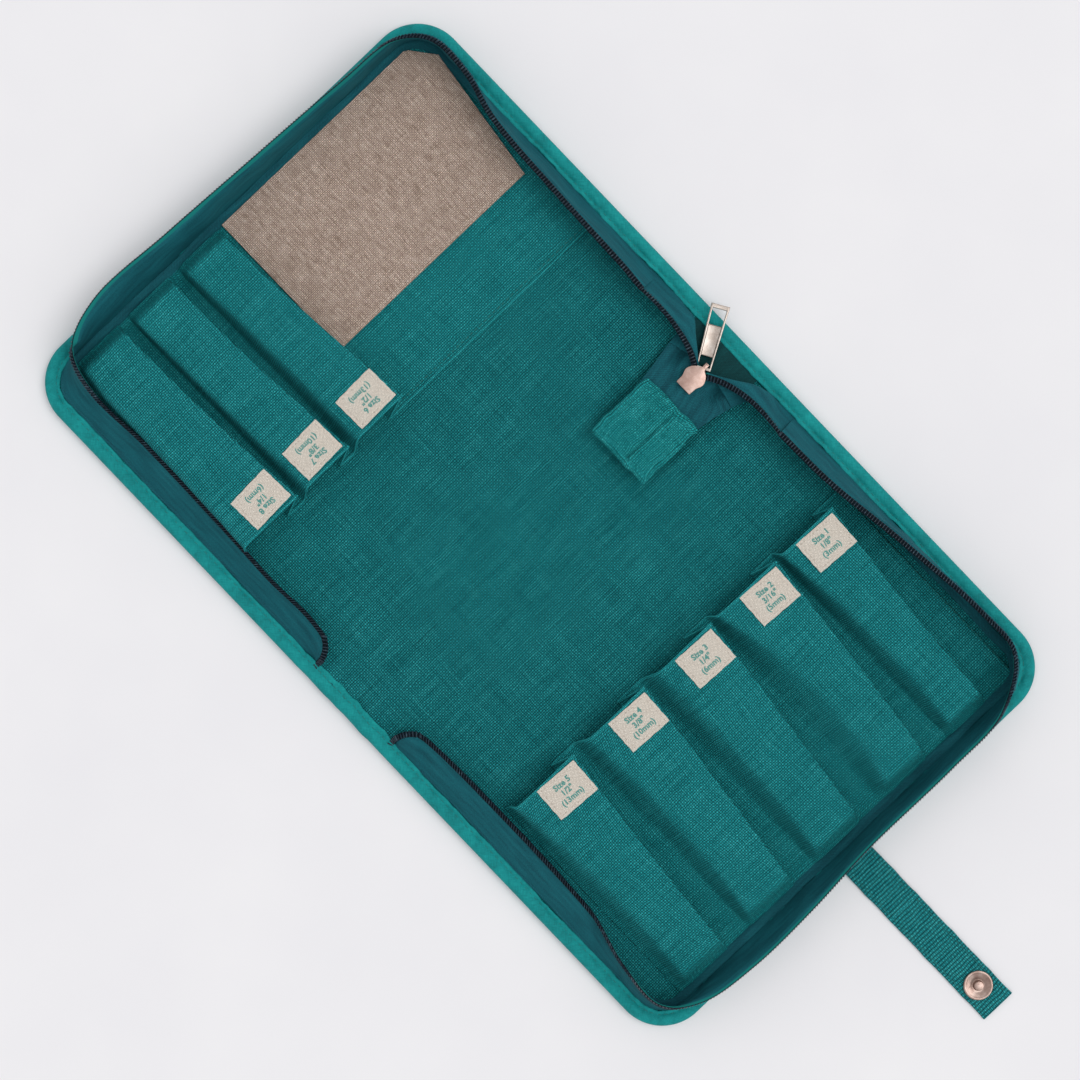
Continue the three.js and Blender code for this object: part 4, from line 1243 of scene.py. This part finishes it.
def pull():
    """Pressed-metal pull: a tapered plate with raised sides and two windows."""
    length, near, far, thick = 27.4, 6.4, 8.0, 1.4
    rim = 0.7
    deselect()
    place = (0, (length - rim) / 2 * MM, 0)
    size = (near * MM, (length + rim) * MM, thick * MM)
    bpy.ops.mesh.primitive_cube_add(size=1, location=place, scale=size)
    piece = made("zip_pull_plate", NICKEL)
    bpy.ops.object.mode_set(mode="EDIT")
    cuts = [((0, y, 0), (0, 1, 0)) for y in (rim, 5.4, 18.6, 25.6)]
    cuts += [((x, 0, 0), (1, 0, 0)) for x in (-2.45, 2.45)]
    for point, normal in cuts:
        bpy.ops.mesh.select_all(action="SELECT")
        bpy.ops.mesh.bisect(plane_co=[p * MM for p in point], plane_no=normal)
    for y0, y1 in ((rim, 5.4), (18.6, 25.6)):
        choose_faces(piece, lambda c, n, a=y0, b=y1: abs(n.z) > 0.9 and a < c.y < b and abs(c.x) < 2.4)
        bpy.ops.mesh.bridge_edge_loops()
    choose_faces(piece, lambda c, n: n.z > 0.9 and 5.4 < c.y < 18.6 and abs(c.x) < 2.4)
    bpy.ops.mesh.inset(thickness=0.12 * MM, depth=-0.5 * MM)
    bpy.ops.object.mode_set(mode="OBJECT")
    co = coordinates(piece.data)
    co[:, 0] *= 1 + (far / near - 1) * np.clip(co[:, 1] / (length * MM), 0, 1)
    co[(co[:, 1] > 25 * MM) & (co[:, 2] > 0), 2] += 0.3 * MM
    piece.data.vertices.foreach_set("co", co.astype(np.float32).ravel())
    face_out(piece)
    bevelled(piece, 0.3, 3, 30)
    pick(piece)
    piece.rotation_euler = (0, 0, np.radians(30.8))
    piece.location = (0, 93.7 * MM, 8.1 * MM)
    bpy.ops.object.transform_apply(location=True, rotation=True, scale=True)
    smooth(piece, 35)
    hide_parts("zip_pull")
    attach(piece, "pull")


def choose_faces(piece, wanted):
    """Selects the faces whose centre (mm) and normal are wanted."""
    bpy.ops.object.mode_set(mode="OBJECT")
    for item in (*piece.data.vertices, *piece.data.edges):
        item.select = False
    for face in piece.data.polygons:
        face.select = wanted(face.center / MM, face.normal)
    bpy.ops.object.mode_set(mode="EDIT")
    bpy.ops.mesh.select_mode(type="FACE")


# ---- Strap and snap ----
STRAP_ROOT_X, STRAP_SPLIT_X, STRAP_TIP_X = 188.5, 220.75, 277.7


def strap_length(name, x0, x1, nodes):
    """Part of the folded canvas strap, crossing one fold."""
    u, v = np.meshgrid(np.linspace(0, 1, int((x1 - x0) / 1.2)), np.linspace(0, 1, 25))
    x, y = x0 + (x1 - x0) * u, SNAP_Y + (v - 0.5) * 16.0
    y = y + 0.12 * wander(x, 19.0, 151) * (2 * v - 1)
    edge = np.minimum(v, 1 - v) * 16.0
    z = 1.45 - 0.5 * (1 - ease(edge, 0.0, 1.0)) - 0.25 * np.exp(-(((edge - 1.7) / 0.6) ** 2))
    z += 0.08 * ripple(x, y, 12.0, 153) + 0.35 * np.exp(-(((x - 191.5) / 3.0) ** 2))
    if x1 >= STRAP_TIP_X:
        z -= 0.45 * (1 - ease(STRAP_TIP_X - x, 0.0, 1.0))
    piece = cloth(name, np.stack([x, y, z], 2), STRAP, 1.1, -1.0)
    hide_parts(*nodes)
    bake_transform(piece)
    last = x1 - (1.7 if x1 >= STRAP_TIP_X else 0)
    for word, y in (("left", SNAP_Y - 6.3), ("right", SNAP_Y + 6.3)):
        line = np.linspace(x0 + 4 if x0 < 190 else x0, last, 80)
        route = np.stack([line, np.full_like(line, y), np.full_like(line, 1.42)], 1)
        sewn = stitches(f"{name}_stitches_{word}", route, UP, THREAD, 2.7, 2.0, 0.45, 0.0)
        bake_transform(sewn)


def strap():
    strap_length("strap_near_length", STRAP_ROOT_X, STRAP_SPLIT_X,
                 ["strap_root", "strap_riser"])
    strap_length("strap_far_length", STRAP_SPLIT_X, STRAP_TIP_X,
                 ["strap_tip"])


def turned(name, profile, x, z, finish, steps=48):
    """A round piece spun from a profile of (radius, height)."""
    deselect()
    bpy.ops.mesh.primitive_circle_add(vertices=len(profile), radius=MM, fill_type="NOTHING")
    piece = made(name, finish)
    flat = np.array([(r * MM, 0, h * MM) for r, h in profile], np.float32)
    piece.data.vertices.foreach_set("co", flat.ravel())
    bpy.ops.object.mode_set(mode="EDIT")
    bpy.ops.mesh.select_all(action="SELECT")
    bpy.ops.mesh.spin(steps=steps, angle=2 * np.pi, center=(0, 0, 0), axis=(0, 0, 1))
    bpy.ops.mesh.select_all(action="SELECT")
    bpy.ops.mesh.remove_doubles(threshold=2e-6)
    bpy.ops.mesh.normals_make_consistent(inside=False)
    bpy.ops.object.mode_set(mode="OBJECT")
    piece.location = (x * MM, SNAP_Y * MM, z * MM)
    bpy.ops.object.transform_apply(location=True, rotation=True, scale=True)
    return smooth(piece, 35)


STUD_X, SOCKET_X = 265.3, -176.2


def snap():
    profile = [(0.0, 0.0), (5.6, 0.0), (6.1, 0.15), (6.2, 0.5), (6.0, 0.8), (5.6, 0.9), (5.2, 0.78),
               (4.7, 0.55), (3.4, 0.5), (3.1, 0.3), (2.3, 0.3), (2.0, 0.7), (1.8, 1.3),
               (2.05, 1.9), (1.9, 2.25), (1.3, 2.4), (0.0, 2.3)]
    stud = turned("snap_stud_face", profile, STUD_X, 1.8, BUTTON_NICKEL)
    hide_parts("snap_stud")
    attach(stud, "strap_tip")
    profile = [(0.0, 0.0), (3.9, 0.0), (4.2, 0.2), (4.2, 0.7), (3.9, 0.9), (1.2, 0.9), (1.2, 1.5), (0.0, 1.5)]
    cap = turned("snap_stud_back", profile, STUD_X, 0.0, BUTTON_NICKEL)
    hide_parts("snap_stud_cap")
    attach(cap, "strap_tip")
    ring = [(2.5, 0.4), (2.7, 0.1), (3.2, 0.0), (5.2, 0.0), (5.6, 0.25), (5.6, 1.7), (5.3, 2.0),
            (2.9, 2.0), (2.5, 1.7), (2.65, 1.0)]
    socket = turned("snap_socket_ring", ring, SOCKET_X, 0.0, BUTTON_NICKEL)
    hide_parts("snap_socket")
    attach(socket, FRONT)
    profile = [(0.0, 0.0), (4.3, 0.0), (4.5, 0.2), (4.5, 0.6), (4.3, 0.8), (0.0, 0.8)]
    post = turned("snap_socket_back", profile, SOCKET_X, 2.3, BUTTON_NICKEL)
    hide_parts("snap_socket_post")
    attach(post, FRONT)


# ---- Studio ----
WORLD_LIGHT = 0.71
# Broad soft sources: name, strength, angular size, and lean towards -Y and +X, in degrees
LIGHTS = (("key", 0.95, 40, (-18, 20)), ("overhead", 0.18, 100, (0, 0)))
CAMERA_PLACE, CAMERA_TURN, CAMERA_LENS = (0.0046, -0.0044, 1.100), 46.3, 87.7


def studio():
    deselect()
    bpy.ops.mesh.primitive_plane_add(size=6, location=(0, 0, -0.0002))
    floor = made("studio_floor")
    f = Finish("pale_floor", 0.7, Specular_IOR_Level=0.2)
    tone = f.noise(f.solid_place(), 0.01, 3.0, 0.6)
    floor.data.materials.append(f.surface(f.ramp(tone, [(0.3, (233, 232, 234)), (0.7, (237, 236, 237))])))
    world = bpy.data.worlds.new("studio")
    bpy.context.scene.world = world
    world.use_nodes = True
    world.node_tree.nodes["Background"].inputs["Color"].default_value = (0.98, 0.98, 1.0, 1)
    world.node_tree.nodes["Background"].inputs["Strength"].default_value = WORLD_LIGHT
    for name, strength, angle, lean in LIGHTS:
        light = bpy.data.lights.new(name, "SUN")
        light.energy = strength
        light.angle = np.radians(angle)
        lamp = bpy.data.objects.new(name, light)
        lamp.rotation_euler = (np.radians(lean[0]), np.radians(lean[1]), 0)
        bpy.context.scene.collection.objects.link(lamp)
    data = bpy.data.cameras.new("camera")
    data.lens = CAMERA_LENS
    data.sensor_width = 36.0
    data.clip_end = 10.0
    camera = bpy.data.objects.new("camera", data)
    camera.location = CAMERA_PLACE
    camera.rotation_euler = (0, 0, np.radians(CAMERA_TURN))
    bpy.context.scene.collection.objects.link(camera)
    bpy.context.scene.camera = camera
    bpy.context.scene.view_settings.view_transform = "Standard"


# ---- The case ----
studio()
pad("front_foam_pad", -(FOLD_X + 2.5), -(HALF_SPAN - 2.2), FRONT, "front_stiffener")
pad("spine_foam_pad", -(FOLD_X - 2.5), FOLD_X - 2.5, SPINE, "spine_stiffener")
pad("back_foam_pad", FOLD_X + 2.5, HALF_SPAN - 2.2, BACK, "back_stiffener")
for cover_side, top_route, bridge_route in ((-1, FRONT_TOP, FRONT_BRIDGE), (1, BACK_TOP, BACK_BRIDGE)):
    outer_canvas(cover_side)
    lining(cover_side)
    binding(cover_side)
    zip_wall(cover_side, top_route)
    zip_bridge(cover_side, bridge_route)
    seam_facing(cover_side)
back_pockets()
front_pockets()
linen_pocket()
spine_end_shadow_strip()
tail_tapes()
end_tab()
slider()
pull()
strap()
snap()
